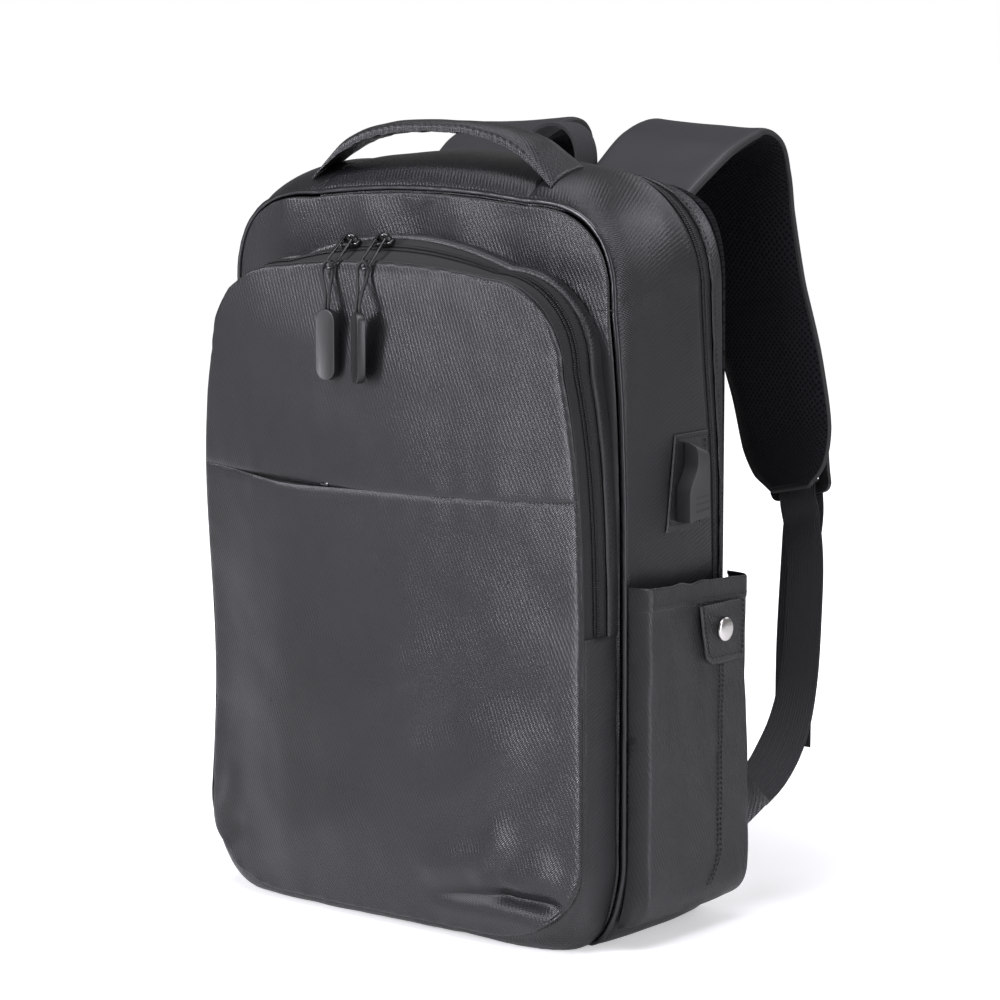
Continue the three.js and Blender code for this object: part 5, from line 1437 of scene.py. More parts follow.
def strap_pieces(hand, side):
    place = band_placer([place_row(row, row["width"] * STRAP_WIDTH) for row in STRAP_PATH], side)

    def pad_point(u, v, share):
        deep = STRAP_PAD * strap_edge(u)
        hollow = (1 - share) * creases_at(v, u) * strap_edge(u) ** 2
        return clear_of_back(place(u, v, -(deep - hollow) * (1 - share) - 0.15 * share))

    pad = finish_piece(
        f"strap_mesh_{hand}", scale_cloth(padded_band(pad_point, 22, 130), 74, 470), mesh_cloth,
        [f"strap_pad_{hand}"], sharp=80)
    puff(pad, 2.5, 1.2)

    def cover_place(u, v):
        u = 1 - u
        near = min(u, 1 - u) * STRAP_WIDTH
        soft = cockle(u * 60, v * 470, 24, 0.5, 30.0 + side) * smoothstep(near, 0, 12)
        return clear_of_back(place(u, v, GAP + STRAP_COVER + soft - roll(near, 4, 1.4)))

    finish_piece(
        f"strap_leather_{hand}",
        sewn_sheet(seam_stops(74, 3, 4, 3), even_stops(130), cover_place, STRAP_COVER - 0.3, flip=False),
        strap_leather, [f"strap_cover_{hand}"])

    def edge_line(u):
        return [clear_of_back(place(u, 0.02 + 0.98 * k / 140, -0.6)) * MM for k in range(141)]

    outline = edge_line(0.005) + [clear_of_back(place(lerp(0.005, 0.995, k / 12), 1, -0.6)) * MM for k in range(1, 12)]
    outline += list(reversed(edge_line(0.995)))
    finish_piece(
        f"strap_binding_{hand}", tube(outline, [1.9 * MM] * len(outline), 8), binding_cloth)
    return place


strap_places = {hand: strap_pieces(hand, side) for hand, side in (("right", 1), ("left", -1))}

# %% [markdown]
# ## Adjusters and webbing
# A ladder adjuster is a plate with two slots. The webbing comes up from the bag's lower corner, turns over the lowest
# bar and hangs down as a free tail, and a short loop holds the top bar to the strap. Flat webbing is modelled
# directly: it keeps its width along a smooth line, and its ribs are in the finish.

# %% Adjuster frame
ADJUSTER_WIDTH, ADJUSTER_BAR, ADJUSTER_SLOT, ADJUSTER_THICKNESS, ADJUSTER_STANDOFF = 42, 5, 8, 3, 12
ADJUSTER_PLACE = 0.85
ADJUSTER_HEIGHT = 3 * ADJUSTER_BAR + 2 * ADJUSTER_SLOT


def ladder_adjuster(at):
    half, slot = ADJUSTER_WIDTH / 2, WEBBING_WIDTH / 2 + 2 * GAP
    xs = [-half, -slot, slot, half]
    ys = [0, ADJUSTER_BAR, ADJUSTER_BAR + ADJUSTER_SLOT, 2 * ADJUSTER_BAR + ADJUSTER_SLOT,
          2 * (ADJUSTER_BAR + ADJUSTER_SLOT), ADJUSTER_HEIGHT]
    bm = bmesh.new()
    bmesh.ops.create_grid(bm, x_segments=3, y_segments=5, size=0.5)
    for vert in bm.verts:
        vert.co = Vector((xs[round((vert.co.x + 0.5) * 3)], ys[round((vert.co.y + 0.5) * 5)], 0))
    slots = [face for face in bm.faces if abs(face.calc_center_median().x) < 1
             and any(low < face.calc_center_median().y < low + ADJUSTER_SLOT
                     for low in (ADJUSTER_BAR, 2 * ADJUSTER_BAR + ADJUSTER_SLOT))]
    bmesh.ops.delete(bm, geom=slots, context="FACES")
    bmesh.ops.solidify(bm, geom=bm.faces[:], thickness=ADJUSTER_THICKNESS)
    corners = [edge for edge in bm.edges if all(
        abs(abs(vert.co.x) - half) < 0.1 and min(vert.co.y, ADJUSTER_HEIGHT - vert.co.y) < 0.1 for vert in edge.verts)]
    bmesh.ops.bevel(bm, geom=corners, offset=5, segments=5, profile=0.5, affect="EDGES", material=-1)
    bm.normal_update()
    hard = [edge for edge in bm.edges if edge.is_manifold and edge.calc_face_angle(0) > math.radians(40)]
    bmesh.ops.bevel(bm, geom=hard, offset=0.7, segments=2, profile=0.5, affect="EDGES", material=-1, clamp_overlap=True)
    for vert in bm.verts:
        vert.co = at(vert.co.x, vert.co.y, vert.co.z + ADJUSTER_THICKNESS / 2) * MM
    bmesh.ops.recalc_face_normals(bm, faces=bm.faces[:])
    return bm


def hairpin(edge, away, around, length):
    bend = [math.radians(angle) for angle in (-90, -45, 0, 45, 90)]
    return [(edge - away * length, -around),
            *((edge + away * around * math.cos(angle), around * math.sin(angle)) for angle in bend),
            (edge - away * length, around)]


def webbing_band(point_at, cells_v, width, length):
    """A woven band with a soft edge: thicker in its middle than at its two selvedges."""
    def outer(u, v):
        return point_at(u, v, 0.5 * (0.55 + 0.45 * quarter_round(min(u, 1 - u) * width / 2)))
    bm = sewn_sheet(seam_stops(width, 3, 2, 2), even_stops(cells_v), outer, WEBBING_THICKNESS * 0.8)
    return bm


# %% Webbing, loops and wings
def strap_ends(hand, side):
    place = strap_places[hand]
    origin = place(0.5, ADJUSTER_PLACE, ADJUSTER_STANDOFF)
    along = (place(0.5, 1, 0) - place(0.5, ADJUSTER_PLACE, 0)).normalized()
    across = (Vector((1, 0, 0)) - along * along.x).normalized()
    outwards = across.cross(along).normalized()

    def at(by_across, by_along, by_outwards):
        return origin + across * by_across + along * by_along + outwards * by_outwards

    finish_piece(f"ladder_{hand}", ladder_adjuster(at), black_plastic, [f"adjuster_{hand}"])

    around = ADJUSTER_THICKNESS / 2 + 2 * GAP + WEBBING_THICKNESS
    seat = STRAP_COVER + 3 * GAP + WEBBING_THICKNESS / 2 - ADJUSTER_STANDOFF
    layer = WEBBING_THICKNESS + GAP
    rows = [
        (-3 * ADJUSTER_BAR, seat), (-1.6 * ADJUSTER_BAR, seat + GAP),
        *hairpin(ADJUSTER_BAR, 1, around, ADJUSTER_BAR * 0.8),
        (-1.2 * ADJUSTER_BAR, seat + 3 * layer), (-3 * ADJUSTER_BAR, seat + layer + GAP),
    ]
    loop_line = smooth_line([Vector((0, row[0], row[1])) for row in rows])

    def loop_point(u, v, offset):
        middle, way = loop_line(v), heading(loop_line, v)
        offset *= WEBBING_THICKNESS * 0.8
        return at((u - 0.5) * WEBBING_WIDTH, middle.y - way.z * offset, middle.z + way.y * offset)

    finish_piece(
        f"end_loop_{hand}", webbing_band(loop_point, 60, WEBBING_WIDTH, 60), webbing_cloth,
        [f"strap_end_loop_{hand}"])

    bend = [{"x": side * point.x, "y": point.y, "z": point.z, "width": WEBBING_WIDTH, "roll": 0}
            for point in (at(0, *row) for row in hairpin(ADJUSTER_HEIGHT - ADJUSTER_BAR, -1, around, 1.4 * ADJUSTER_BAR))]
    run = [place_row(row, WEBBING_WIDTH) for row in reversed(WEBBING_RUN)]
    tail = [place_row(row, WEBBING_WIDTH) for row in WEBBING_TAIL]
    webbing = band_placer([*run, *bend, *tail], side, across)

    def webbing_point(u, v, offset):
        sway = 0.5 * noise.noise(Vector((v * 9, u, side)))
        return webbing(u, v, offset * WEBBING_THICKNESS * 0.8 + sway * (0.2 < v < 0.45))

    finish_piece(
        f"webbing_{hand}", webbing_band(webbing_point, 260, WEBBING_WIDTH, 420), webbing_cloth,
        [f"strap_webbing_{hand}"])

    ends = [webbing(share, 0, 0) for share in (0, 1)]
    away = (webbing(0.5, 0, 0) - webbing(0.5, 0.02, 0)).normalized()
    tips = sorted(ends, key=lambda point: -point.z)
    section = body_section(BACK_SEAM_Y)

    def wing_place(u, v):
        seam = Vector((side * (section["half"] + WALL), SIDE_POCKET_BACK_Y + 2 * WALL,
                       lerp(0.225, 0.1, v) * BODY_HEIGHT))
        point = seam.lerp(tips[0].lerp(tips[1], v) - away * WALL, u)
        edge = min(min(v, 1 - v) * 50, 6)
        point.x += side * (WALL / 2 + 2 * GAP - roll(edge, 1.5, 0.6) + 0.5 * math.sin(math.pi * u))
        return point

    finish_piece(
        f"wing_{hand}", sewn_sheet(even_stops(16), seam_stops(50, 3, 3, 3), wing_place, WALL, flip=side > 0),
        body_leather, [f"strap_wing_{hand}"])
    return webbing


webbings = {hand: strap_ends(hand, side) for hand, side in (("right", 1), ("left", -1))}

# %% [markdown]
# ## Haul loop and back
# The small loop between the straps is one length of webbing. The back is foam under spacer mesh, in two long pads
# with a channel between them for air, and a narrow seam all round.

# %% Haul loop
LOOP_HALF_SPAN, LOOP_RISE, LOOP_WIDTH = 26, 30, 20


def haul_place(u, v):
    section = body_section(BACK_SEAM_Y)
    foot_z = section["top"] - LOOP_WIDTH * 0.6
    foot_y = GUSSET_BACK_Y + 2 * GAP + back_pad_thickness(LOOP_HALF_SPAN, foot_z) + LOOP_WIDTH / 2
    thickness = WEBBING_THICKNESS * 1.4
    angle = math.pi * (1 - v)
    up = max(math.sin(angle), 0) ** 0.7
    z = foot_z + (LOOP_RISE + LOOP_WIDTH * 0.6) * up + thickness
    return LOOP_HALF_SPAN * math.cos(angle), foot_y + (u - 0.5 + 0.6 * up) * LOOP_WIDTH, z


finish_piece(
    "haul_webbing", sewn_sheet(seam_stops(LOOP_WIDTH, 3, 2, 2), even_stops(80), haul_place, WEBBING_THICKNESS * 1.4,
                               flip=True),
    webbing_cloth, ["haul_loop"])

# %% Back pad
BACK_EDGES = outline_edges(body_section(BACK_SEAM_Y), 0, GAP)


def back_pad_point(u, v, share):
    x, z = inside_edges(BACK_EDGES, u, v)
    foam = back_pad_thickness(x, z)
    inner = smoothstep(min(u, 1 - u) * 280, 10, 22) * smoothstep(min(v, 1 - v) * 420, 10, 24)
    channel = 2.6 * math.exp(-(((abs(x) - 15) / 2.2) ** 2)) * inner
    level = 1.6 * math.exp(-(((z - 0.36 * BODY_HEIGHT) / 3) ** 2)) * inner * smoothstep(abs(x), 15, 19)
    soft = cockle(x, z, 40, 0.6, 40.0) * inner
    depth = foam - channel - level + soft - roll(min(min(u, 1 - u) * 280, min(v, 1 - v) * 420), 5, 2.0)
    return Vector((x, GUSSET_BACK_Y + GAP + max(depth, 1.0) * share, z))


back = finish_piece(
    "back_pad", scale_cloth(padded_band(back_pad_point, 90, 132, 2), 284, 430), mesh_cloth,
    ["back_panel"], sharp=80)
puff(back, 1.5, 0.8)

# %% [markdown]
# ## Zip pulls
# Each pull is four things in a chain: a lacquered slider, a wire link through its bridge, a thin cord through the
# link, and a rubber tab. The link starts as a torus, a ring that is spun, and its two halves are moved apart. The
# cord is a short loop that hangs from the link.

# %% Parts of a pull
PULL_LENGTH, PULL_WIDTH, PULL_THICKNESS, CORD_DIAMETER = 41, 14.5, 5, 2.0
SLIDER_DECK, TAB_TOP_Z = 3, 0.812 * BODY_HEIGHT
PULLS = named_rows("name x tab turn", [("a", -0.2, -0.185, 0), ("b", -0.03, -0.005, -33)])


def wire_link(length, width, wire):
    """A closed oval link in its own XY plane, long along Y, in millimetres."""
    bm = bmesh.new()
    reach = (width - wire) / 2
    bmesh.ops.create_circle(bm, segments=12, radius=wire / 2,
                            matrix=Matrix.Translation((reach, 0, 0)) @ Matrix.Rotation(math.pi / 2, 4, "X"))
    bmesh.ops.spin(bm, geom=bm.verts[:] + bm.edges[:], cent=(0, 0, 0), axis=(0, 0, 1), angle=TURN, steps=32,
                   use_merge=True)
    bmesh.ops.remove_doubles(bm, verts=bm.verts[:], dist=0.001)
    for vert in bm.verts:
        vert.co.y += (length - width) / 2 * clamp(vert.co.y / 0.4, -1, 1)
    bmesh.ops.recalc_face_normals(bm, faces=bm.faces[:])
    return bm


def set_piece(bm, matrix):
    bmesh.ops.transform(bm, verts=bm.verts[:], matrix=Matrix.Scale(MM, 4) @ matrix)
    return bm


def rubber_tab():
    """A stadium plate with rounded edges and a sunk face on both sides, hanging down from its top."""
    bm = bmesh.new()
    bmesh.ops.create_circle(bm, cap_ends=True, segments=40, radius=PULL_WIDTH / 2)
    for vert in bm.verts:
        vert.co.y += (PULL_LENGTH - PULL_WIDTH) / 2 * clamp(vert.co.y / 0.3, -1, 1) - PULL_LENGTH / 2
    made = bmesh.ops.extrude_face_region(bm, geom=bm.faces[:], use_keep_orig=True)["geom"]
    bmesh.ops.translate(bm, verts=[v for v in made if isinstance(v, bmesh.types.BMVert)], vec=(0, 0, PULL_THICKNESS))
    bmesh.ops.recalc_face_normals(bm, faces=bm.faces[:])
    faces = [face for face in bm.faces if len(face.verts) > 8]
    bmesh.ops.inset_region(bm, faces=faces, thickness=1.7, depth=0, use_even_offset=True)
    sunk = [face for face in bm.faces if len(face.verts) > 8]
    for face in sunk:
        bmesh.ops.translate(bm, verts=face.verts[:], vec=-face.normal * 0.45)
    bm.normal_update()
    rims = [edge for edge in bm.edges if edge.calc_face_angle(0) > math.radians(50)]
    bmesh.ops.bevel(bm, geom=rims, offset=0.6, segments=3, profile=0.5, affect="EDGES", material=-1, clamp_overlap=True)
    bmesh.ops.translate(bm, verts=bm.verts[:], vec=(0, 0, -PULL_THICKNESS / 2))
    return bm


def slider_body():
    """A slider's deck with a waisted nose, a groove along each side and an arched bridge."""
    bm = bmesh.new()
    bmesh.ops.create_cube(bm, size=1, matrix=Matrix.Diagonal((12, 8, SLIDER_DECK, 1)))
    lengthwise = [edge for edge in bm.edges if abs(edge.verts[0].co.x - edge.verts[1].co.x) > 1]
    bmesh.ops.subdivide_edges(bm, edges=lengthwise, cuts=3, use_grid_fill=True)
    for vert in bm.verts:
        vert.co.y *= lerp(1.0, 0.62, smoothstep(vert.co.x, -2, 6))
        vert.co.z += SLIDER_DECK / 2
    bmesh.ops.bevel(bm, geom=[e for e in bm.edges if e.calc_face_angle(0) > 1.0], offset=0.8, segments=3, profile=0.5,
                    affect="EDGES", material=-1, clamp_overlap=True)
    arch = bmesh.new()
    bmesh.ops.create_circle(arch, cap_ends=True, segments=12, radius=1.0, matrix=Matrix.Translation((4.6, 0, 0))
                            @ Matrix.Diagonal((0.75, 1.5, 1, 1)))
    bmesh.ops.spin(arch, geom=arch.verts[:] + arch.edges[:] + arch.faces[:], cent=(0, 0, 0), axis=(0, -1, 0),
                   angle=math.pi, steps=16)
    bmesh.ops.translate(arch, verts=arch.verts[:], vec=(0, 0, SLIDER_DECK - 0.4))
    bmesh.ops.recalc_face_normals(arch, faces=arch.faces[:])
    shape = bpy.data.meshes.new("arch")
    arch.to_mesh(shape)
    arch.free()
    bm.from_mesh(shape)
    bpy.data.meshes.remove(shape)
    return bm


# %% Both pulls
def make_pull(pull):
    name, x = pull["name"], pull["x"] * BODY_HALF_WIDTH
    middle = (ZIP_FRONT + ZIP_EDGE) / 2
    share = middle / POCKET_DEPTH

    def seat_at(distance):
        near = pocket_section(distance / POCKET_DEPTH)
        return outline_point(x / near["seam"], near, COIL_HEIGHT - WALL + 2 * GAP)[1]

    seat = seat_at(middle) - 0.4
    slope = math.atan2(seat_at(middle + 4) - seat_at(middle - 4), 8)
    seat_y = lerp(POCKET_RIM_Y, POCKET_ROOT_Y - panel_crown(x, seat), share)
    slider_place = Matrix.Translation((x, seat_y, seat)) @ Matrix.Rotation(slope, 4, "X")
    finish_piece(
        f"slider_{name}", set_piece(slider_body(), slider_place), black_metal, [f"zip_slider_{name}"])

    rim_top = outline_point(x / RIM["seam"], RIM)[1]
    top = slider_place @ Vector((-1.0, 0, 5.2))
    low = Vector((x - (5 if name == "a" else 3.5), POCKET_RIM_Y - 4.6, rim_top - 3.5))
    lengthwise = (low - top).normalized()
    sideways = (Vector((1, 0, 0)) - lengthwise * lengthwise.x).normalized()
    turned = Matrix((sideways, lengthwise, sideways.cross(lengthwise))).transposed().to_4x4()
    turned.translation = (top + low) / 2
    finish_piece(
        f"link_{name}", set_piece(wire_link((low - top).length + 3.2, 9.2, 1.7), turned), black_metal)

    tab_x = pull["tab"] * BODY_HALF_WIDTH
    turn = math.radians(pull["turn"])
    reach = (PULL_WIDTH * abs(math.sin(turn)) + PULL_THICKNESS * math.cos(turn)) / 2
    tab_y = pocket_front(tab_x, TAB_TOP_Z - PULL_LENGTH) - reach - 4 * GAP
    upright = Matrix.Translation((tab_x, tab_y, TAB_TOP_Z)) @ Matrix.Rotation(turn, 4, "Z") \
        @ Matrix.Rotation(math.pi / 2, 4, "X")
    tab = finish_piece(
        f"tab_{name}", set_piece(rubber_tab(), upright), tab_rubber, [f"pull_tab_{name}"], sharp=50)

    strand = CORD_DIAMETER / 2 + 0.25
    crown = low + Vector((0, 0.4, 1.4))
    bow = 2.0 * CORD_DIAMETER
    knots = [
        Vector((tab_x - strand, tab_y, TAB_TOP_Z - 1)), Vector((tab_x - strand, tab_y, TAB_TOP_Z + 4)),
        Vector((tab_x, tab_y, TAB_TOP_Z)).lerp(crown, 0.45) + Vector((-strand * 1.2, -0.4, 0)),
        crown + Vector((-bow * 0.72, -1.4, -bow * 1.3)), crown + Vector((-bow * 0.66, -0.9, -bow * 0.2)),
        crown + Vector((0, 0, bow * 0.55)),
        crown + Vector((bow * 0.66, 1.2, -bow * 0.2)), crown + Vector((bow * 0.72, 0.8, -bow * 1.3)),
        Vector((tab_x, tab_y, TAB_TOP_Z)).lerp(crown, 0.45) + Vector((strand * 1.2, 0.4, 0)),
        Vector((tab_x + strand, tab_y, TAB_TOP_Z + 4)), Vector((tab_x + strand, tab_y, TAB_TOP_Z - 1)),
    ]
    line = smooth_line(knots)
    route = [line(k / 90) * MM for k in range(91)]
    cord = finish_piece(
        f"cord_{name}", tube(route, [CORD_DIAMETER / 2 * MM] * len(route), 10), black_thread,
        [f"pull_cord_{name}"])
    length = sum((b - a).length for a, b in zip(route, route[1:]))
    tuple(route[0])
    [tuple(point) for point in route]
    print(f"cord {name}: {length:.3f} m")
    return tab


for pull in PULLS:
    make_pull(pull)

SLIT_SLIDER_X = -0.22 * BODY_HALF_WIDTH
slit_slider = bmesh.new()
bmesh.ops.create_cube(slit_slider, size=1, matrix=Matrix.Diagonal((COIL_WIDTH, WALL, 1.8, 1)))
bmesh.ops.bevel(slit_slider, geom=slit_slider.edges[:], offset=0.4, segments=2, profile=0.5, affect="EDGES", material=-1)
slit_z = slit_middle(SLIT_SLIDER_X)
slider_at = Vector((SLIT_SLIDER_X, pocket_front(SLIT_SLIDER_X, slit_z) + WALL * 0.7, slit_z))
finish_piece(
    "slit_slider", set_piece(slit_slider, Matrix.Translation(slider_at)), black_metal,
    ["pocket_slit_slider"])

# %% [markdown]
# ## Stitches
# A stitch is a short thread that dives at both ends, so a ball stretched along the seam is enough when it is sunk by
# half. Each seam is a row of places with the cloth's own outward direction, and stitches are set along it at an even
# pitch. Doing this last means that each row lies on the finished face.

# %% Stitch rows
def on_face(point_at, outward):
    """From a place function of two numbers: the point, and the direction out of the cloth there."""
    def spot(a, b, step=0.2):
        here = Vector(point_at(a, b))
        side, up = Vector(point_at(a + step, b)) - here, Vector(point_at(a, b + step)) - here
        normal = side.cross(up)
        normal = normal.normalized() if normal.length > 1e-9 else outward(here)
        return here, (-normal if normal.dot(outward(here)) < 0 else normal)
    return spot


def out_of_bag(point):
    return Vector((point.x, (point.y - 22) * 0.2, point.z - 220)).normalized()


def stitch_row(bm, spots, pitch=3.4, long=2.7, thick=0.6, rise=0.12):
    """One row in a mesh of its own, which is quick to build, and then joined to the others."""
    row = bmesh.new()
    lengths = running_lengths([point for point, _ in spots])
    count = int(lengths[-1] / pitch)
    k = 0
    for number in range(count):
        goal = (number + 0.5) * lengths[-1] / count
        while k < len(lengths) - 2 and lengths[k + 1] < goal:
            k += 1
        share = (goal - lengths[k]) / max(lengths[k + 1] - lengths[k], 1e-9)
        point, along = spots[k][0].lerp(spots[k + 1][0], share), (spots[k + 1][0] - spots[k][0]).normalized()
        normal = spots[k][1].lerp(spots[k + 1][1], share)
        normal = (normal - along * along.dot(normal)).normalized()
        place = set_frame(point + normal * rise, along, normal.cross(along), normal, (long / 2, thick / 2, thick / 2))
        bmesh.ops.create_icosphere(row, subdivisions=1, radius=1, matrix=place)
    shape = bpy.data.meshes.new("row")
    row.to_mesh(shape)
    row.free()
    bm.from_mesh(shape)
    bpy.data.meshes.remove(shape)
    return count


def sewn_rows(name, rows, **sizes):
    bm = bmesh.new()
    count = sum(stitch_row(bm, spots, **sizes) for spots in rows)
    finish_piece(name, bm, black_thread, sharp=80)
    print(f"{name}: {count} stitches in {len(rows)} rows")


def steps(count):
    return [k / count for k in range(count + 1)]


# %% Stitches round the front pocket
wall_spot = on_face(lambda turn, behind: pocket_wall_point(turn / 100, behind, 0), out_of_bag)


def wall_row(first, last, behind, out, count=260):
    turn_at, _ = ruler(first, last, RIM)
    spots = []
    for share in steps(count):
        point, normal = wall_spot(turn_at(share) * 100, behind)
        spots.append((Vector(pocket_wall_point(turn_at(share), behind, out)), normal))
    return spots


sewn_rows("pocket_stitches", [
    wall_row(-ARCH_STOP, ARCH_STOP, ZIP_FRONT + 0.9, SUNK + 0.25),
    wall_row(-ARCH_STOP, ARCH_STOP, ZIP_EDGE - 0.9, SUNK + 0.25),
    wall_row(-ARCH_STOP, ARCH_STOP, ZIP_EDGE + 2.4, -0.1),
])


# %% Threads that lie in a seam and paint its shade
def seam_thread_and_shade(name, lines, radius=0.55):
    """Black thread pulled down between two panels, which also paints the shade in the seam, one tube for each line of
    points in millimetres.
    """
    bm = bmesh.new()
    for line in lines:
        route = [point * MM for point in line]
        part = tube(route, [radius * MM] * len(route), 6)
        shape = bpy.data.meshes.new("line")
        part.to_mesh(shape)
        part.free()
        bm.from_mesh(shape)
        bpy.data.meshes.remove(shape)
    finish_piece(name, bm, black_thread, sharp=80)


def rim_line(first, last, count=240):
    turn_at, _ = ruler(first, last, RIM)
    line = []
    for share in steps(count):
        x, z = outline_point(turn_at(share), RIM, 0.15)
        line.append(Vector((x, rim_y(x, z) + 2.1, z)))
    return line


# A black line round the pocket's rim: partly thread in the seam, partly painted shade between the panels.
seam_thread_and_shade("pocket_seam_thread_and_shade", [rim_line(-5.6, 5.6)])


# %% Stitches of the body
def belt_row(first, last, y_at, out, count=320):
    turn_at, _ = ruler(first, last, body_section(20))
    spots = []
    for share in steps(count):
        turn = turn_at(share)
        point = Vector(body_wall_point(turn, y_at(turn), out))
        spots.append((point, (Vector(body_wall_point(turn, y_at(turn), out + 1)) - point).normalized()))
    return spots


def level_row(side):
    spots = []
    for share in steps(20):
        x = side * lerp(LEVEL_SEAM_START + 4, 142, share)
        z = LEVEL_SEAM_Z + 2.6
        spots.append((Vector((x, panel_front(x, z) + 0.3, z)), Vector((0, -1, 0))))
    return spots


sewn_rows("body_stitches", [
    belt_row(-4.9, 4.9, lambda turn: GUSSET_FRONT_Y + 1.4, -1.6, 500),
    belt_row(-ZIP_STOP, ZIP_STOP, lambda turn: zip_front(turn) + 0.9, SUNK + 0.25),
    belt_row(-ZIP_STOP, ZIP_STOP, lambda turn: zip_back(turn) - 0.9, SUNK + 0.25),
    belt_row(-ZIP_STOP, ZIP_STOP, lambda turn: zip_back(turn) + 2.2, -0.2),
    level_row(1), level_row(-1),
])


# %% Stitches of the side pockets, the tab and the port
def pocket_spot(side, y, z, out):
    point = on_side_pocket(side, y, z, out)
    return point, (on_side_pocket(side, y, z, out + 1) - point).normalized()


def hem_row(side, above):
    return [pocket_spot(side, y, mouth_height(y) - HEM_HEIGHT + above, 0.45)
            for y in (lerp(GUSSET_FRONT_Y + 2, SIDE_POCKET_BACK_Y - 2, share) for share in steps(90))]


def tab_row(inside):
    spots = []
    for share in steps(26):
        up = lerp(TAB_HEIGHT, inside, share)
        spots.append(pocket_spot(1, tab_outline(up)[0] + inside, TAB_TOP - TAB_HEIGHT + up, 2 * GAP + WALL + 0.05))
    front, back = tab_outline(inside)
    for share in steps(20):
        spots.append(pocket_spot(1, lerp(front + inside, back - inside, share), TAB_TOP - TAB_HEIGHT + inside, 2 * GAP + WALL))
    for share in steps(26):
        up = lerp(inside, TAB_HEIGHT, share)
        spots.append(pocket_spot(1, tab_outline(up)[1] - inside, TAB_TOP - TAB_HEIGHT + up, 2 * GAP + WALL))
    return spots


def pleat_y(z):
    """The pleat runs down under the tab and swings forward to the bottom corner."""
    return TAB_BACK_Y - 20 - 14 * (1 - smoothstep(z, 20, 52)) ** 1.5


def pleat_row(side, shift):
    return [pocket_spot(side, pleat_y(z) + shift, z, 0.1)
            for z in (lerp(TAB_TOP - TAB_HEIGHT - 2, 22, share) for share in steps(70))]


def patch_row():
    corners = [(0.08, 0.05), (0.92, 0.05), (0.92, 0.95), (0.08, 0.95), (0.08, 0.05)]
    spots = []
    for (u0, v0), (u1, v1) in zip(corners, corners[1:]):
        for share in steps(14):
            point = Vector(port_patch_place(lerp(u0, u1, share), lerp(v0, v1, share)))
            spots.append((point, Vector((1, 0, 0))))
    return spots


sewn_rows("side_stitches", [
    hem_row(1, 1.8), hem_row(-1, 1.8), tab_row(2.6), pleat_row(1, -1.6), pleat_row(1, 1.6),
    pleat_row(-1, -1.6), pleat_row(-1, 1.6), patch_row(),
], pitch=3.0, long=2.4, thick=0.55)

# %% [markdown]
# ## Floor, light and backdrop
# The studio is a plain white table. A large softbox stands on the left, a narrow one on the right picks out the
# rolled edges, one above lights the top, and a weak one behind fills the straps. What the camera sees behind the table
# is plain white. The table and the backdrop are brighter for the camera than for the bag, so that the dark leather
# keeps its depth. Near the bag the table glows less for the camera, which paints its contact shadow.

# %% What only the camera sees
def seen_as(tree, for_camera, for_light):
    """One strength for the camera's own rays and another for all others."""
    path = add_node(tree, "ShaderNodeLightPath")
    strength = add_node(tree, "ShaderNodeMapRange")
    for socket, value in zip(strength.inputs, (path.outputs["Is Camera Ray"], 0.0, 1.0, for_light, for_camera)):
        feed(tree, socket, value)
    return strength.outputs[0]


# %% Floor
FLOOR_HALF = 40


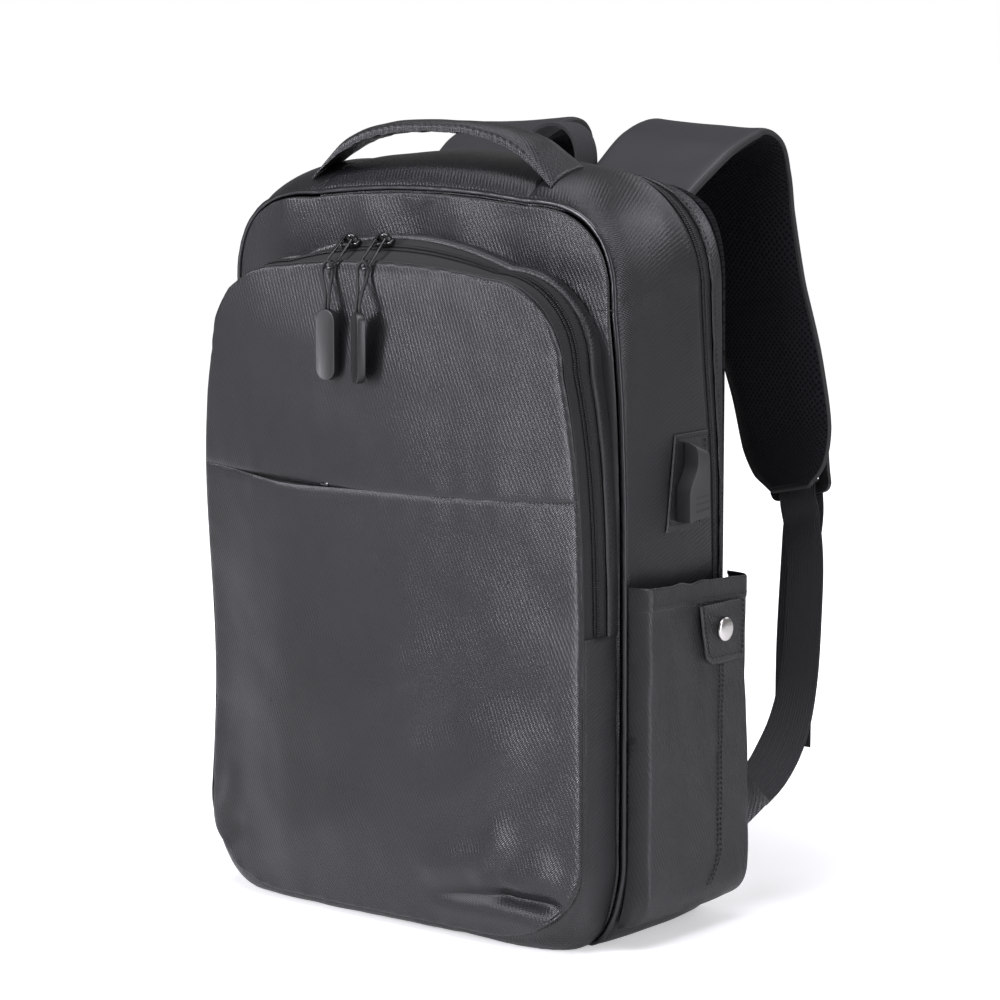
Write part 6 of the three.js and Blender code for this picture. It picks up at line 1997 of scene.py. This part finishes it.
def finish_floor():
    bm = bmesh.new()
    bmesh.ops.create_grid(bm, x_segments=2, y_segments=2, size=FLOOR_HALF)
    mesh = bpy.data.meshes.new("floor")
    bm.to_mesh(mesh)
    bm.free()
    material, tree, shader, _, place = new_material("studio_floor", Roughness=0.8)
    shader.inputs["Emission Color"].default_value = grey(1.0)
    away = add_node(tree, "ShaderNodeVectorMath", operation="LENGTH")
    feed(tree, away.inputs[0], place)
    # Painted contact shadow: for the camera the table glows less near the bag, from 0.42 close by to 0.86 far away.
    glow_with_painted_shadow = add_node(tree, "ShaderNodeMapRange", interpolation_type="SMOOTHSTEP")
    for socket, value in zip(glow_with_painted_shadow.inputs, (away.outputs["Value"], 0.1, 1.1, 0.42, 0.86)):
        feed(tree, socket, value)
    feed(tree, shader.inputs["Emission Strength"], seen_as(tree, glow_with_painted_shadow.outputs[0], 0.08))
    cloud = noise_at(tree, place, 3.0)
    feed(tree, shader.inputs["Base Color"], mix_colours(tree, cloud, grey(0.8), grey(0.82)))
    mesh.materials.append(material)
    floor = bpy.data.objects.new("floor", mesh)
    bpy.context.scene.collection.objects.link(floor)
    return floor


finish_floor()

# %% Softboxes
SOFTBOXES = named_rows("name azimuth elevation distance width height watts", [
    ("left_box", -22, 20, 2.2, 0.5, 1.3, 62),
    ("right_strip", 80, 14, 2.0, 0.35, 1.6, 20),
    ("top_box", 30, 76, 1.9, 1.4, 1.0, 30),
    ("back_fill", 172, 34, 2.4, 1.2, 1.2, 12),
])
AIM = Vector((0, 0.02, 0.23))
COOL_LIGHT = (0.97, 0.97, 1.05)
for row in SOFTBOXES:
    turned, raised = math.radians(row["azimuth"]), math.radians(row["elevation"])
    away = Vector((math.sin(turned) * math.cos(raised), -math.cos(turned) * math.cos(raised), math.sin(raised)))
    lamp = bpy.data.lights.new(row["name"], "AREA")
    lamp.color = COOL_LIGHT
    lamp.shape, lamp.size, lamp.size_y, lamp.energy = "RECTANGLE", row["width"], row["height"], row["watts"]
    box = bpy.data.objects.new(row["name"], lamp)
    box.location = AIM + away * row["distance"]
    box.rotation_euler = (-away).to_track_quat("-Z", "Y").to_euler()
    bpy.context.scene.collection.objects.link(box)
print("softboxes:", len(SOFTBOXES))

# %% Backdrop
world = bpy.data.worlds.new("studio")
bpy.context.scene.world = world
world.use_nodes = True
backdrop = world.node_tree.nodes["Background"]
backdrop.inputs["Color"].default_value = grey(1.0)
feed(world.node_tree, backdrop.inputs["Strength"], seen_as(world.node_tree, 1.0, 0.2))
bpy.context.scene.view_settings.view_transform = "Standard"
